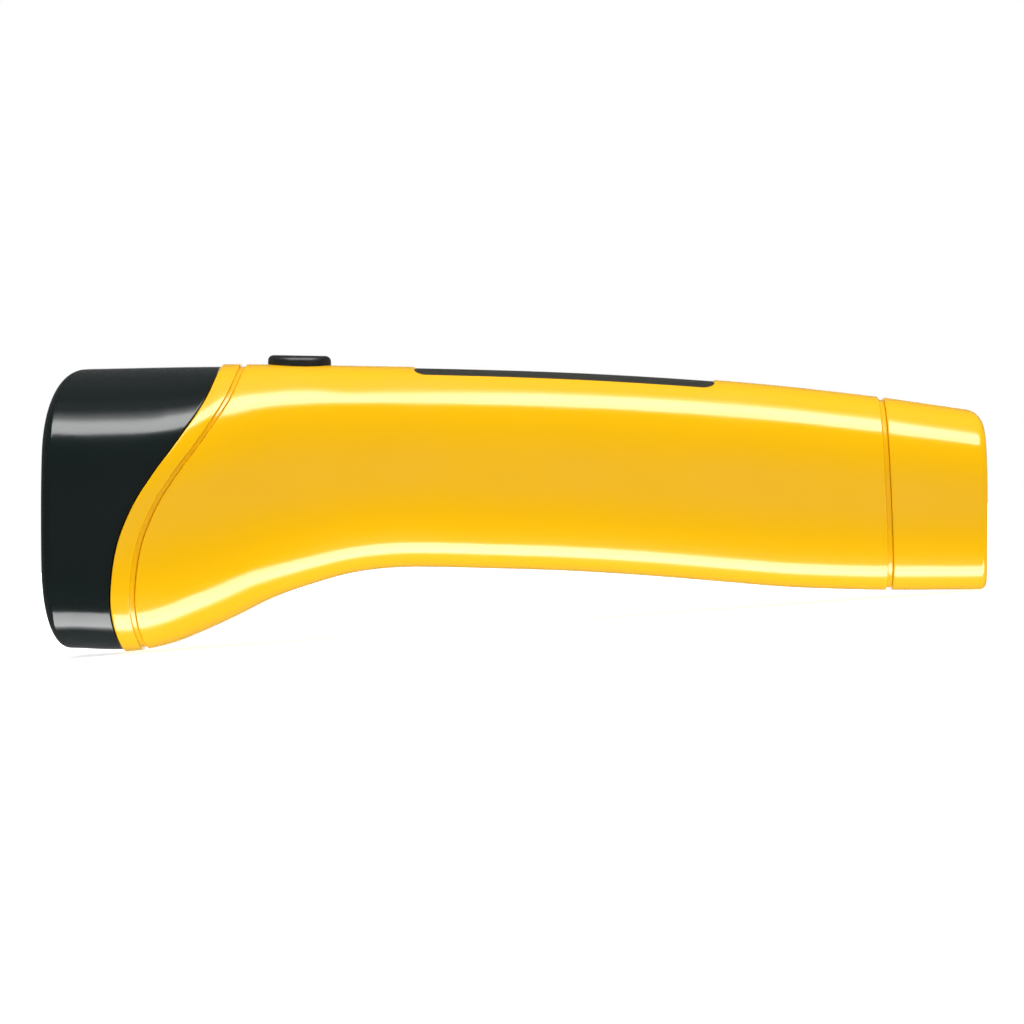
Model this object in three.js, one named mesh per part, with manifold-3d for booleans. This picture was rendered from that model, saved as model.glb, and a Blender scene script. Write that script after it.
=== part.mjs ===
// Hand crank flashlight, built as an assembly of separate pieces.
// Lengths are in millimetres. X runs from the front rim to the tail, Y across to the crank side, Z up.
import * as THREE from 'three';
import { mergeVertices } from 'three/addons/utils/BufferGeometryUtils.js';
import Module from 'manifold-3d';

const wasm = await Module();
wasm.setup();

// Overall form
const bodyLength = 186.3;
const headTopHeight = 28.9;
const headBottomDepth = 28.6;
const headHalfWidth = 25.5;
const topSquareness = 2.4;
const headSquareness = 2;
const roundTopEndShare = 0.12;
const squareTopStartShare = 0.26;
const bottomSquareness = 2.6;
const wall = 2;
const fitGap = 0.3;
const partingGap = 0.3;
const overrun = 12;
const weldDistance = 0.0001;

// Side outline: share of the body length, then share of the head's height, depth or half width
const topLineShares = [
  [0.035, 0.983], [0.183, 1], [0.317, 0.99], [0.478, 0.969], [0.59, 0.941], [0.703, 0.896],
  [0.784, 0.851], [0.848, 0.806], [0.896, 0.768], [0.945, 0.723], [1, 0.671],
];
const bottomLineShares = [
  [0.027, 0.993], [0.086, 1], [0.1315, 0.944], [0.17, 0.846], [0.209, 0.727], [0.232, 0.65],
  [0.258, 0.58], [0.307, 0.479], [0.333, 0.441], [0.366, 0.416], [0.398, 0.409], [0.478, 0.42],
  [0.558, 0.437], [0.639, 0.4685], [0.719, 0.5105], [0.784, 0.5455], [0.832, 0.56], [0.9, 0.57], [1, 0.5665],
];
const sideLineShares = [
  [0.02, 0.985], [0.06, 1], [0.1, 1], [0.1315, 0.975], [0.19, 0.862], [0.232, 0.765], [0.28, 0.695],
  [0.322, 0.667], [0.483, 0.651], [0.7, 0.641], [0.9, 0.64], [1, 0.622],
];

// Head housing
const headInset = 0.5;
const edgeRadius = 2.2;
const edgeThinShare = 0.9;
const rimTopReach = 18;
const rimTopDepth = 8;
const rimBottomReach = 17;
const rimBottomDepth = 5;
const rimRoundness = 2.3;
const lensBoreRim = 3.1;
const bezelLip = 1.6;
const bezelDepth = 3.4;
const lensBoreDepth = 9.4;
const shoulderDepth = 2.4;
const neckWall = 1.7;
const neckReach = 8;

// Seam between head and collar: share of the head's height, then share of the way from near to far
const seamNear = 13.4;
const seamFar = 34.5;
const seamShares = [
  [-1, 0.085], [-0.785, 0.01], [-0.564, 0], [-0.239, 0.071], [0.031, 0.223], [0.249, 0.412],
  [0.467, 0.626], [0.74, 0.863], [1, 1],
];

// Collar and grooves
const collarWidth = 4;
const grooveWidth = 1.1;
const grooveDepth = 0.5;
const lipRadius = 0.35;

// Tail cap
const tailCapLength = 19.3;
const tailSeamLean = 1.25;
const spigotReach = 8;
const spigotWall = 1.7;
const spigotRootLength = 2.5;
const sealSetback = 3;
const sealWidth = 1;
const sealThickness = 0.6;
const tailTopRadius = 3;
const tailBottomRadius = 2;
const tailSideRadius = 2;

// Label plate
const labelFront = 73.1;
const labelLength = 59.6;
const labelHalfWidth = 8.5;
const labelCornerRadius = 2.4;
const labelRecess = 0.3;
const labelThickness = 0.7;

// Power button and switch
const buttonCentre = 50;
const buttonLength = 12.6;
const buttonWidth = 9.5;
const buttonCornerRadius = 2.6;
const buttonProud = 1.85;
const buttonFlangeRim = 1.2;
const buttonFlangeThickness = 1;
const buttonFlangeDrop = 3.1;
const buttonTravel = 1.2;
const stemRadius = 1.8;
const switchLength = 6.8;
const switchWidth = 8;
const switchHeight = 4;
const plungerRadius = 1.4;
const plungerReach = 2.3;
const plungerDepth = 2;
const springWireRadius = 0.25;
const buttonSpringRadius = 2.8;
const buttonSpringTurns = 4;

// Main circuit board
const boardFront = 36;
const boardLength = 17;
const boardHalfWidth = 9;
const boardDrop = 15.766;
const boardThickness = 1.6;
const railInset = 2;
const railHeight = 2.4;
const railLength = 10;

// Lens, gasket and reflector
const lensThickness = 2;
const lensDome = 0.7;
const gasketThickness = 1.2;
const gasketWidth = 2;
const reflectorFlange = 1;
const reflectorMouthStep = 0.2;
const reflectorWall = 1;
const reflectorRearRadius = 6.6;
const reflectorDepth = 18;
const reflectorRearRim = 2.4;

// Light source
const ledBoardRadius = 13;
const ledBoardThickness = 1.6;
const ledCount = 3;
const ledRingRadius = 3.3;
const ledRadius = 2.5;
const ledRimRadius = 2.8;
const ledRimThickness = 1;
const ledLength = 8;

// Gear train
const moduleLengthShare = 0.0048309;
const moduleHeightShare = 0.0311419;
const moduleWidthShare = 0.0352941;
const pressureAngle = 25;
const addendumShare = 0.8;
const dedendumShare = 1.05;
const backlash = 0.16;
const mainTeeth = 32;
const firstWheelTeeth = 28;
const secondWheelTeeth = 26;
const pinionTeeth = 9;
const firstLineSlope = 2.8;
const secondLineSlope = 1.7;
const thirdLineSlope = 0;
const mainGearFace = 3;
const wheelFace = 2.5;
const layerGap = 1;
const mainGearInner = 5.5;
const axleSeatDepth = 2;

// Gear plate, posts and axles
const platePlane = -2.5;
const plateThickness = 1.5;
const plateHalfHeight = 11.4;
const plateMargin = 2.8;
const plateCornerRadius = 3;
const earRadius = 2.8;
const axleRadius = 1;
const axleEndInset = 0.2;
const postRadius = 2.2;
const postFrontClearance = 0.3;
const postFrontAngle = 136;
const postRearClearance = 0.4;
const postRearUpperAngle = 124.2;
const postRearLowerAngle = 231.4;
const axleBossRadius = 2.5;

// Generator
const canWheelStep = 0.92;
const canBoardGap = 1.679;
const canReachShare = 0.451;
const canWall = 0.8;
const coilThickness = 3.6;
const magnetCoilGap = 0.8;
const magnetTrim = 0.4;
const coilSetback = 1.1;

// Crank
const shaftRadius = 3;
const shaftEndRadius = 2;
const armSeatRadius = 2.6;
const bushWall = 0.9;
const crankBossRadius = 8.5;
const crankBossProud = 1.195;
const crankBossGearGap = 3.5;
const armHubRadius = 7.5;
const armHubThickness = 7;
const armWeb = 1;
const armScrewReach = 5;
const armThickness = 6;
const armEndRadius = 6.5;
const crankRadius = 50;
const armEndStep = 0.5;
const armDroop = 4.3;
const slotHalfWidth = 4.5;
const slotInnerRoom = 23;
const slotOuterRoom = 4.5;
const slotCornerRadius = 1.5;
const hingePinRadius = 1;
const armScrewHeadRadius = 3;
const armScrewHeadHeight = 1.3;

// Folding knob
const knobRadius = 4;
const knobBarrelRadius = 2.8;
const knobShaftRadius = 1.5;
const knobReach = 21.5;
const knobRivetRadius = 2.6;
const knobRivetThickness = 0.8;
const knobRivetSpigot = 0.6;

// Battery cells and cradle
const cellSideRoom = 1.48;
const cellHeightShare = 0.1407;
const cellSpringRoom = 4;
const cellNubRadius = 1.9;
const cellNubLength = 0.8;
const cellSpacing = 0.4;
const cellCount = 3;
const cradleGearGap = 0.78;
const cradlePlate = 1.3;
const cradleSetback = 7.1;
const cradleTubeWall = 1.3;
const cradleBoreGap = 0.3;
const contactThickness = 0.3;
const contactRim = 3;
const tailContactThickness = 0.4;
const cellSpringRadius = 2.6;
const cellSpringTurns = 3;

// Screws
const screwRadius = 1;
const screwHeadRadius = 1.9;
const screwHeadHeight = 1.4;
const screwFrontReach = 10;
const screwFrontShare = -0.2076;
const screwMiddleShare = 0.3653;
const screwMiddleDepthShare = -0.249;
const screwRearLowerClearance = 1.3;
const screwRearUpperClearance = 0.36;
const screwSeatShare = 0.3765;
const screwReach = 8;
const screwBossRadius = 3;
const plateScrewRadius = 0.8;
const plateScrewHeadRadius = 1.6;
const plateScrewHeadHeight = 1;
const plateScrewReach = 7;
const bossSkinInset = 0.8;

// Wires
const wireRadius = 0.55;

// Counts of steps
const shellSteps = 14;
const roundSteps = 2 * shellSteps;
const edgeSteps = 4;
const rimSteps = 4;
const lengthSteps = 11;
const frontCrowding = 1.4;
const bowlSteps = 5;
const tiltSteps = 80;
const pinSides = 8;
const wheelSides = 18;
const flankSteps = 2;
const flatSteps = 3;
const slabSteps = 6;
const wireSides = 5;
const wireSteps = 10;
const coilStepsPerTurn = 8;
const coilSides = 4;
const seamPasses = 14;

// Colours and finishes
const finishes = {
  yellow: { color: 0xf0b61c, roughness: 0.22, metalness: 0 },
  black: { color: 0x1b2022, roughness: 0.2, metalness: 0 },
  charcoal: { color: 0x4b4a3e, roughness: 0.45, metalness: 0 },
  clear: { color: 0xe8eef0, roughness: 0.05, metalness: 0, transparent: true, opacity: 0.35 },
  mirror: { color: 0xdfe2e4, roughness: 0.08, metalness: 1 },
  steel: { color: 0xa9adb0, roughness: 0.35, metalness: 1 },
  brass: { color: 0xb99447, roughness: 0.35, metalness: 1 },
  copper: { color: 0xa85a2e, roughness: 0.4, metalness: 1 },
  rubber: { color: 0x202020, roughness: 0.8, metalness: 0 },
  board: { color: 0x1f5a34, roughness: 0.5, metalness: 0 },
  whitePlastic: { color: 0xe6e4da, roughness: 0.45, metalness: 0 },
  cellWrap: { color: 0x3c7a4a, roughness: 0.4, metalness: 0 },
  redWire: { color: 0xb02a20, roughness: 0.5, metalness: 0 },
};

// A smooth curve through a table of shares, given the sizes that the shares follow.
function curveOf(shares, alongSize, valueSize) {
  const xs = shares.map(([along]) => along * alongSize);
  const ys = shares.map(([, value]) => value * valueSize);
  const slopes = xs.map((x, i) => {
    const before = Math.max(i - 1, 0);
    const after = Math.min(i + 1, xs.length - 1);
    return (ys[after] - ys[before]) / (xs[after] - xs[before]);
  });
  return (x) => {
    let i = 0;
    while (i < xs.length - 2 && x > xs[i + 1]) i += 1;
    const span = xs[i + 1] - xs[i];
    const t = THREE.MathUtils.clamp((x - xs[i]) / span, 0, 1);
    const rise = t * t * (3 - 2 * t);
    const start = t * (1 - t) * (1 - t) * span * slopes[i];
    const end = t * t * (t - 1) * span * slopes[i + 1];
    return ys[i] + rise * (ys[i + 1] - ys[i]) + start + end;
  };
}

const topLine = curveOf(topLineShares, bodyLength, headTopHeight);
const bottomLine = curveOf(bottomLineShares, bodyLength, -headBottomDepth);
const sideLine = curveOf(sideLineShares, bodyLength, headHalfWidth);
const seamLine = curveOf(seamShares, headTopHeight, seamFar - seamNear);
const tailSeam = bodyLength - tailCapLength;
const headSeam = (z) => seamNear + seamLine(z);
const capSeam = (z) => tailSeam - tailSeamLean * (z / headTopHeight);
const middleLine = (x) => (topLine(x) + bottomLine(x)) / 2;

// Sizes that follow the outer form
const lensBoreRadius = headHalfWidth - lensBoreRim;
const spigotInset = wall + fitGap;
const bezelOpeningRadius = lensBoreRadius - bezelLip;
const reflectorMouthRadius = bezelOpeningRadius - reflectorMouthStep;
const boardHeight = topLine(buttonCentre) - boardDrop;
const screwSeat = headHalfWidth * screwSeatShare;
const gearModule = Math.min(
  bodyLength * moduleLengthShare, headTopHeight * moduleHeightShare, headHalfWidth * moduleWidthShare);

// The top is round over the head and squarer over the handle.
function topPower(x) {
  const way = THREE.MathUtils.smoothstep(x, bodyLength * roundTopEndShare, bodyLength * squareTopStartShare);
  return THREE.MathUtils.lerp(headSquareness, topSquareness, way);
}

// A point on the outer form at x, at an angle from +Y towards +Z, sunk by an inset.
function skinPoint(x, angle, inset) {
  const c = Math.cos(angle);
  const s = Math.sin(angle);
  const power = 2 / (s > 0 ? topPower(x) : bottomSquareness);
  const halfHeight = (topLine(x) - bottomLine(x)) / 2 - inset;
  const y = Math.sign(c) * Math.abs(c) ** power * (sideLine(x) - inset);
  const z = middleLine(x) + Math.sign(s) * Math.abs(s) ** power * halfHeight;
  return new THREE.Vector3(x, y, z);
}

// Height of the outer form's upper side at x and y, sunk by an inset.
function skinHeight(x, y, inset) {
  const halfHeight = (topLine(x) - bottomLine(x)) / 2 - inset;
  const across = Math.min(Math.abs(y) / (sideLine(x) - inset), 1);
  return middleLine(x) + halfHeight * (1 - across ** topPower(x)) ** (1 / topPower(x));
}

// The point of the outer form that lies on a seam moved along X by an offset.
function seamPoint(seam, offset, angle, inset) {
  let x = seam(0) + offset;
  for (let pass = 0; pass < seamPasses; pass += 1) {
    x = seam(skinPoint(x, angle, inset).z) + offset;
  }
  return skinPoint(x, angle, inset);
}

// A point on a circle round the head's axis.
function ringPoint(x, angle, radius) {
  return new THREE.Vector3(x, radius * Math.cos(angle), radius * Math.sin(angle));
}

// A geometry with only positions, with shared vertices and no collapsed triangles, facing out.
function tidy(geometry) {
  const bare = geometry.clone();
  bare.deleteAttribute('normal');
  bare.deleteAttribute('uv');
  const merged = mergeVertices(bare, weldDistance);
  const found = merged.index.array;
  const kept = [];
  for (let i = 0; i < found.length; i += 3) {
    const [a, b, c] = [found[i], found[i + 1], found[i + 2]];
    if (a !== b && b !== c && c !== a) kept.push(a, b, c);
  }
  if (volumeOf(merged, kept) < 0) kept.reverse();
  merged.setIndex(kept);
  return merged;
}

// Six times the signed volume inside a list of triangles.
function volumeOf(geometry, index) {
  const position = geometry.attributes.position;
  const corner = (i) => new THREE.Vector3().fromBufferAttribute(position, index[i]);
  let sum = 0;
  for (let i = 0; i < index.length; i += 3) {
    sum += corner(i).dot(corner(i + 1).cross(corner(i + 2)));
  }
  return sum;
}

// The library's solid for a closed geometry, and the geometry for a solid.
function solidOf(geometry) {
  const bare = tidy(geometry);
  return new wasm.Manifold(new wasm.Mesh({
    numProp: 3,
    vertProperties: new Float32Array(bare.attributes.position.array),
    triVerts: new Uint32Array(bare.index.array),
  }));
}

function geometryOf(solid) {
  const mesh = solid.getMesh();
  const geometry = new THREE.BufferGeometry();
  geometry.setAttribute('position', new THREE.BufferAttribute(new Float32Array(mesh.vertProperties), 3));
  geometry.setIndex([...mesh.triVerts]);
  return geometry;
}

function cut(geometry, tools) {
  return geometryOf(tools.reduce((solid, tool) => solid.subtract(solidOf(tool)), solidOf(geometry)));
}

function join(geometry, additions) {
  return geometryOf(additions.reduce((solid, extra) => solid.add(solidOf(extra)), solidOf(geometry)));
}

function common(first, second) {
  return geometryOf(solidOf(first).intersect(solidOf(second)));
}

// Triangles across a flat loop, wound with the loop or against it.
function endFaces(outline, against) {
  const matches = THREE.ShapeUtils.isClockWise(outline) === against;
  return THREE.ShapeUtils.triangulateShape(outline, []).flatMap(
    (face) => (matches ? face : face.toReversed()));
}

// One closed surface through neighbouring loops of points. Open ends are filled across a plane.
function loopSurface(loops, endPlane) {
  const count = loops[0].length;
  const geometry = new THREE.BufferGeometry().setFromPoints(loops.flat());
  const faces = [];
  const bands = endPlane ? loops.length - 1 : loops.length;
  for (let i = 0; i < bands; i += 1) {
    for (let j = 0; j < count; j += 1) {
      const a = i * count + j;
      const b = i * count + ((j + 1) % count);
      const c = ((i + 1) % loops.length) * count + ((j + 1) % count);
      const d = ((i + 1) % loops.length) * count + j;
      faces.push(a, b, c, a, c, d);
    }
  }
  if (endPlane) {
    const last = (loops.length - 1) * count;
    faces.push(...endFaces(loops[0].map(endPlane), true));
    faces.push(...endFaces(loops.at(-1).map(endPlane), false).map((i) => i + last));
  }
  geometry.setIndex(faces);
  return tidy(geometry);
}

const sidePlane = (point) => new THREE.Vector2(point.x, point.z);
const crossPlane = (point) => new THREE.Vector2(point.y, point.z);

// A closed ring whose profile is worked out at each angle round the body.
function ringSurface(profile, steps) {
  const angles = Array.from({ length: steps }, (_, i) => (2 * Math.PI * i) / steps);
  return loopSurface(angles.map(profile), null);
}

// Cylinders and blocks given by where they begin and end.
function cylinderY(radius, from, to, x, z, sides) {
  return new THREE.CylinderGeometry(radius, radius, to - from, sides).translate(x, (from + to) / 2, z);
}

function cylinderX(radius, from, to, y, z, sides) {
  const turned = new THREE.CylinderGeometry(radius, radius, to - from, sides).rotateZ(-Math.PI / 2);
  return turned.translate((from + to) / 2, y, z);
}

function cylinderZ(radius, from, to, x, y, sides) {
  const turned = new THREE.CylinderGeometry(radius, radius, to - from, sides).rotateX(Math.PI / 2);
  return turned.translate(x, y, (from + to) / 2);
}

function block(xFrom, xTo, yFrom, yTo, zFrom, zTo) {
  const made = new THREE.BoxGeometry(xTo - xFrom, yTo - yFrom, zTo - zFrom);
  return made.translate((xFrom + xTo) / 2, (yFrom + yTo) / 2, (zFrom + zTo) / 2);
}

// A turned piece: pairs of radius and distance along its axis, laid along X, Y or the piece's own line.
function turned(pairs, sides) {
  return new THREE.LatheGeometry(pairs.map(([radius, along]) => new THREE.Vector2(radius, along)), sides);
}

function turnedX(pairs, y, z, sides) {
  return turned(pairs, sides).rotateZ(-Math.PI / 2).translate(0, y, z);
}

function turnedY(pairs, x, z, sides) {
  return turned(pairs, sides).translate(x, 0, z);
}

// A tube's profile, closed on itself.
function tubePairs(inner, outer, from, to) {
  return [[inner, from], [outer, from], [outer, to], [inner, to], [inner, from]];
}

function prismY(shape, from, to) {
  const made = new THREE.ExtrudeGeometry(
    shape, { depth: to - from, bevelEnabled: false, curveSegments: flatSteps });
  return made.rotateX(Math.PI / 2).translate(0, to, 0);
}

function prismZ(shape, from, to) {
  const made = new THREE.ExtrudeGeometry(
    shape, { depth: to - from, bevelEnabled: false, curveSegments: flatSteps });
  return made.translate(0, 0, from);
}

function circlePoints(radius, sides) {
  return Array.from({ length: sides }, (_, i) => new THREE.Vector2(
    radius * Math.cos((2 * Math.PI * i) / sides),
    radius * Math.sin((2 * Math.PI * i) / sides),
  ));
}

// A rectangle with rounded corners, round a centre.
function roundedRectangle(centreX, centreY, halfLength, halfWidth, radius) {
  const shape = new THREE.Shape();
  const reach = halfLength - radius;
  const spread = halfWidth - radius;
  shape.absarc(centreX + reach, centreY + spread, radius, 0, Math.PI / 2);
  shape.absarc(centreX - reach, centreY + spread, radius, Math.PI / 2, Math.PI);
  shape.absarc(centreX - reach, centreY - spread, radius, Math.PI, 1.5 * Math.PI);
  shape.absarc(centreX + reach, centreY - spread, radius, 1.5 * Math.PI, 2 * Math.PI);
  return shape;
}

// A slab between two depths under the upper side of the outer form.
function skinSlab(xFrom, xTo, halfWidth, upperInset, lowerInset, steps) {
  const loops = Array.from({ length: steps + 1 }, (_, i) => {
    const x = THREE.MathUtils.lerp(xFrom, xTo, i / steps);
    const ys = Array.from({ length: slabSteps + 1 }, (_, j) => (2 * j / slabSteps - 1) * halfWidth);
    const upper = ys.map((y) => new THREE.Vector3(x, y, skinHeight(x, y, upperInset)));
    const lower = ys.toReversed().map((y) => new THREE.Vector3(x, y, skinHeight(x, y, lowerInset)));
    return [...upper, ...lower];
  });
  return loopSurface(loops, crossPlane);
}

// A round bar bent along a curve.
function bar(curve, radius, sides, steps) {
  const section = new THREE.Shape(circlePoints(radius, sides));
  return new THREE.ExtrudeGeometry(section, { steps, extrudePath: curve, bevelEnabled: false });
}

// A coil round the Z axis from one height to another.
class Coil extends THREE.Curve {
  constructor(radius, from, to, turns) {
    super();
    Object.assign(this, { radius, from, to, turns });
  }

  getPoint(t) {
    const angle = 2 * Math.PI * this.turns * t;
    const height = THREE.MathUtils.lerp(this.from, this.to, t);
    return new THREE.Vector3(this.radius * Math.cos(angle), this.radius * Math.sin(angle), height);
  }
}

function coilSpring(radius, from, to, turns) {
  return bar(new Coil(radius, from, to, turns), springWireRadius, coilSides, turns * coilStepsPerTurn);
}

// The flashlight in its own straight frame. Each piece is a mesh whose position is its own centre.
const flashlight = new THREE.Group();

function addPiece(name, geometry, finish, x = 0, y = 0, z = 0) {
  const local = tidy(geometry).translate(-x, -y, -z);
  const mesh = new THREE.Mesh(local, new THREE.MeshStandardMaterial(finishes[finish]));
  mesh.name = name;
  mesh.position.set(x, y, z);
  mesh.geometry.computeVertexNormals();
  flashlight.add(mesh);
  return mesh;
}

// How near a height is to the top or bottom end of the rim, from 0 where the rim is still straight.
function rimRise(z) {
  const edge = (z > 0 ? topLine(0) : -bottomLine(0)) - headInset;
  const reach = z > 0 ? rimTopReach : rimBottomReach;
  return THREE.MathUtils.clamp((Math.abs(z) - edge + reach) / reach, 0, 1);
}

// A point moved to the front rim, which bends back towards its top and bottom, or to a step behind it.
function onRim(point, behind = 0) {
  const depth = point.z > 0 ? rimTopDepth : rimBottomDepth;
  const bend = depth * (1 - (1 - rimRise(point.z) ** rimRoundness) ** (1 / rimRoundness));
  return point.setX(bend + behind);
}

// Head housing: a bent front rim with a rounded edge, the visible barrel and a neck under the collar.
function headProfile(angle) {
  const points = [];
  const opening = ringPoint(0, angle, bezelOpeningRadius);
  const radius = edgeRadius * (1 - edgeThinShare * rimRise(skinPoint(0, angle, headInset).z) ** 2);
  const edgeStart = skinPoint(0, angle, headInset + radius);
  for (let step = 0; step < rimSteps; step += 1) {
    const way = Math.sin((Math.PI / 2) * (step / rimSteps));
    points.push(onRim(opening.clone().lerp(edgeStart, way)));
  }
  for (let step = 0; step <= edgeSteps; step += 1) {
    const turn = (Math.PI / 2) * (step / edgeSteps);
    const edgePoint = skinPoint(0, angle, headInset + radius * (1 - Math.sin(turn)));
    points.push(onRim(edgePoint, radius * (1 - Math.cos(turn))));
  }
  const front = points.at(-1).x;
  const rear = seamPoint(headSeam, 0, angle, headInset).x;
  for (let step = 1; step < edgeSteps; step += 1) {
    points.push(skinPoint(THREE.MathUtils.lerp(front, rear, step / edgeSteps), angle, headInset));
  }
  const neckInset = wall + fitGap;
  points.push(
    seamPoint(headSeam, 0, angle, headInset),
    seamPoint(headSeam, 0, angle, neckInset),
    seamPoint(headSeam, neckReach / 2, angle, neckInset),
    seamPoint(headSeam, neckReach, angle, neckInset),
    seamPoint(headSeam, neckReach, angle, neckInset + neckWall),
    skinPoint(lensBoreDepth + shoulderDepth, angle, neckInset + neckWall),
    ringPoint(lensBoreDepth, angle, lensBoreRadius),
    ringPoint(bezelDepth, angle, lensBoreRadius),
    ringPoint(bezelDepth, angle, bezelOpeningRadius),
  );
  return points;
}

// Collar: the narrow band behind the head, with the groove's floor at its rear.
function collarProfile(angle) {
  const ledge = collarWidth + grooveWidth - fitGap;
  return [
    seamPoint(headSeam, fitGap, angle, wall),
    seamPoint(headSeam, fitGap, angle, lipRadius),
    seamPoint(headSeam, fitGap + lipRadius, angle, 0),
    seamPoint(headSeam, collarWidth - lipRadius, angle, 0),
    seamPoint(headSeam, collarWidth, angle, lipRadius),
    seamPoint(headSeam, collarWidth, angle, grooveDepth),
    seamPoint(headSeam, ledge, angle, grooveDepth),
    seamPoint(headSeam, ledge, angle, wall),
  ];
}

// Handle shell: outer skin, rear groove, spigot for the tail cap, then the inner skin back to the front.
function shellProfile(angle) {
  const front = collarWidth + grooveWidth;
  const ledge = grooveWidth / 2 - fitGap;
  const sealInset = spigotInset + sealThickness;
  const outerFrom = seamPoint(headSeam, front + lipRadius, angle, 0).x;
  const outerTo = seamPoint(capSeam, -grooveWidth / 2 - lipRadius, angle, 0).x;
  const innerFrom = seamPoint(headSeam, front, angle, wall).x;
  const innerTo = seamPoint(capSeam, -2 * spigotRootLength, angle, wall).x;
  const crowded = (step) => (step / lengthSteps) ** frontCrowding;
  const steps = Array.from({ length: lengthSteps + 1 }, (_, i) => crowded(i));
  return [
    seamPoint(headSeam, front, angle, lipRadius),
    ...steps.map((share) => skinPoint(THREE.MathUtils.lerp(outerFrom, outerTo, share), angle, 0)),
    seamPoint(capSeam, -grooveWidth / 2, angle, lipRadius),
    seamPoint(capSeam, -grooveWidth / 2, angle, grooveDepth),
    seamPoint(capSeam, ledge, angle, grooveDepth),
    seamPoint(capSeam, ledge, angle, spigotInset),
    seamPoint(capSeam, sealSetback, angle, spigotInset),
    seamPoint(capSeam, sealSetback, angle, sealInset),
    seamPoint(capSeam, sealSetback + sealWidth + 2 * fitGap, angle, sealInset),
    seamPoint(capSeam, sealSetback + sealWidth + 2 * fitGap, angle, spigotInset),
    seamPoint(capSeam, spigotReach, angle, spigotInset),
    seamPoint(capSeam, spigotReach, angle, spigotInset + spigotWall),
    seamPoint(capSeam, -spigotRootLength, angle, spigotInset + spigotWall),
    ...steps.toReversed().map(
      (share) => skinPoint(THREE.MathUtils.lerp(innerFrom, innerTo, share), angle, wall)),
  ];
}

function shellBlank(side) {
  const loops = Array.from({ length: shellSteps + 1 }, (_, i) => {
    const angle = Math.PI * (i / shellSteps - side / 2);
    return shellProfile(angle).map((point) => {
      const squeeze = 1 - partingGap / 2 / sideLine(point.x);
      return point.setY(side * (partingGap / 2 + Math.abs(point.y) * squeeze));
    });
  });
  return loopSurface(loops, sidePlane);
}

// Tail cap: a cup with a flat end, its corners rounded more at the top.
function tailEdgeRadius(angle) {
  const rise = Math.sin(angle);
  const far = rise > 0 ? tailTopRadius : tailBottomRadius;
  return tailSideRadius + (far - tailSideRadius) * rise * rise;
}

function capProfile(angle) {
  const front = grooveWidth / 2;
  const radius = tailEdgeRadius(angle);
  const points = [new THREE.Vector3(bodyLength, 0, middleLine(bodyLength))];
  for (let step = 0; step <= edgeSteps; step += 1) {
    const turn = (Math.PI / 2) * (step / edgeSteps);
    const x = bodyLength - radius * (1 - Math.cos(turn));
    points.push(skinPoint(x, angle, radius * (1 - Math.sin(turn))));
  }
  points.push(
    seamPoint(capSeam, front + lipRadius, angle, 0),
    seamPoint(capSeam, front, angle, lipRadius),
    seamPoint(capSeam, front, angle, wall),
    skinPoint(bodyLength - wall, angle, wall),
    new THREE.Vector3(bodyLength - wall, 0, middleLine(bodyLength - wall)),
  );
  return points;
}

// A plate that fills the body's cross-section between two places, inside a clearance.
function bulkhead(from, to, inset, steps = 1) {
  const loops = Array.from({ length: steps + 1 }, (_, i) => Array.from(
    { length: roundSteps },
    (__, j) => skinPoint(THREE.MathUtils.lerp(from, to, i / steps), (2 * Math.PI * j) / roundSteps, inset),
  ));
  return loopSurface(loops, crossPlane);
}

// Gear axes, worked out from the teeth, one behind the other from the crank to the generator
const meshDistance = (wheelTeeth) => (gearModule * (wheelTeeth + pinionTeeth)) / 2;
const tipRadius = (teeth) => gearModule * (teeth / 2 + addendumShare);

function nextAxis(from, wheelTeeth, slope) {
  const turn = Math.PI - THREE.MathUtils.degToRad(slope);
  const reach = meshDistance(wheelTeeth);
  return { x: from.x + reach * Math.cos(turn), z: from.z + reach * Math.sin(turn), turn };
}

// The train starts behind the main board, at the generator, and ends at the crank.
const lineSpan = (wheelTeeth, slope) => meshDistance(wheelTeeth) * Math.cos(THREE.MathUtils.degToRad(slope));
const canRadius = tipRadius(secondWheelTeeth) - canWheelStep;
const rotorX = boardFront + boardLength + canBoardGap + canRadius;
const trainLength = lineSpan(mainTeeth, firstLineSlope) + lineSpan(firstWheelTeeth, secondLineSlope)
  + lineSpan(secondWheelTeeth, thirdLineSlope);
const crankX = rotorX + trainLength;
const crankZ = middleLine(crankX);
const crankAxis = { x: crankX, z: crankZ };
const firstAxis = nextAxis(crankAxis, mainTeeth, firstLineSlope);
const secondAxis = nextAxis(firstAxis, firstWheelTeeth, secondLineSlope);
const rotorAxis = nextAxis(secondAxis, secondWheelTeeth, thirdLineSlope);

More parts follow.
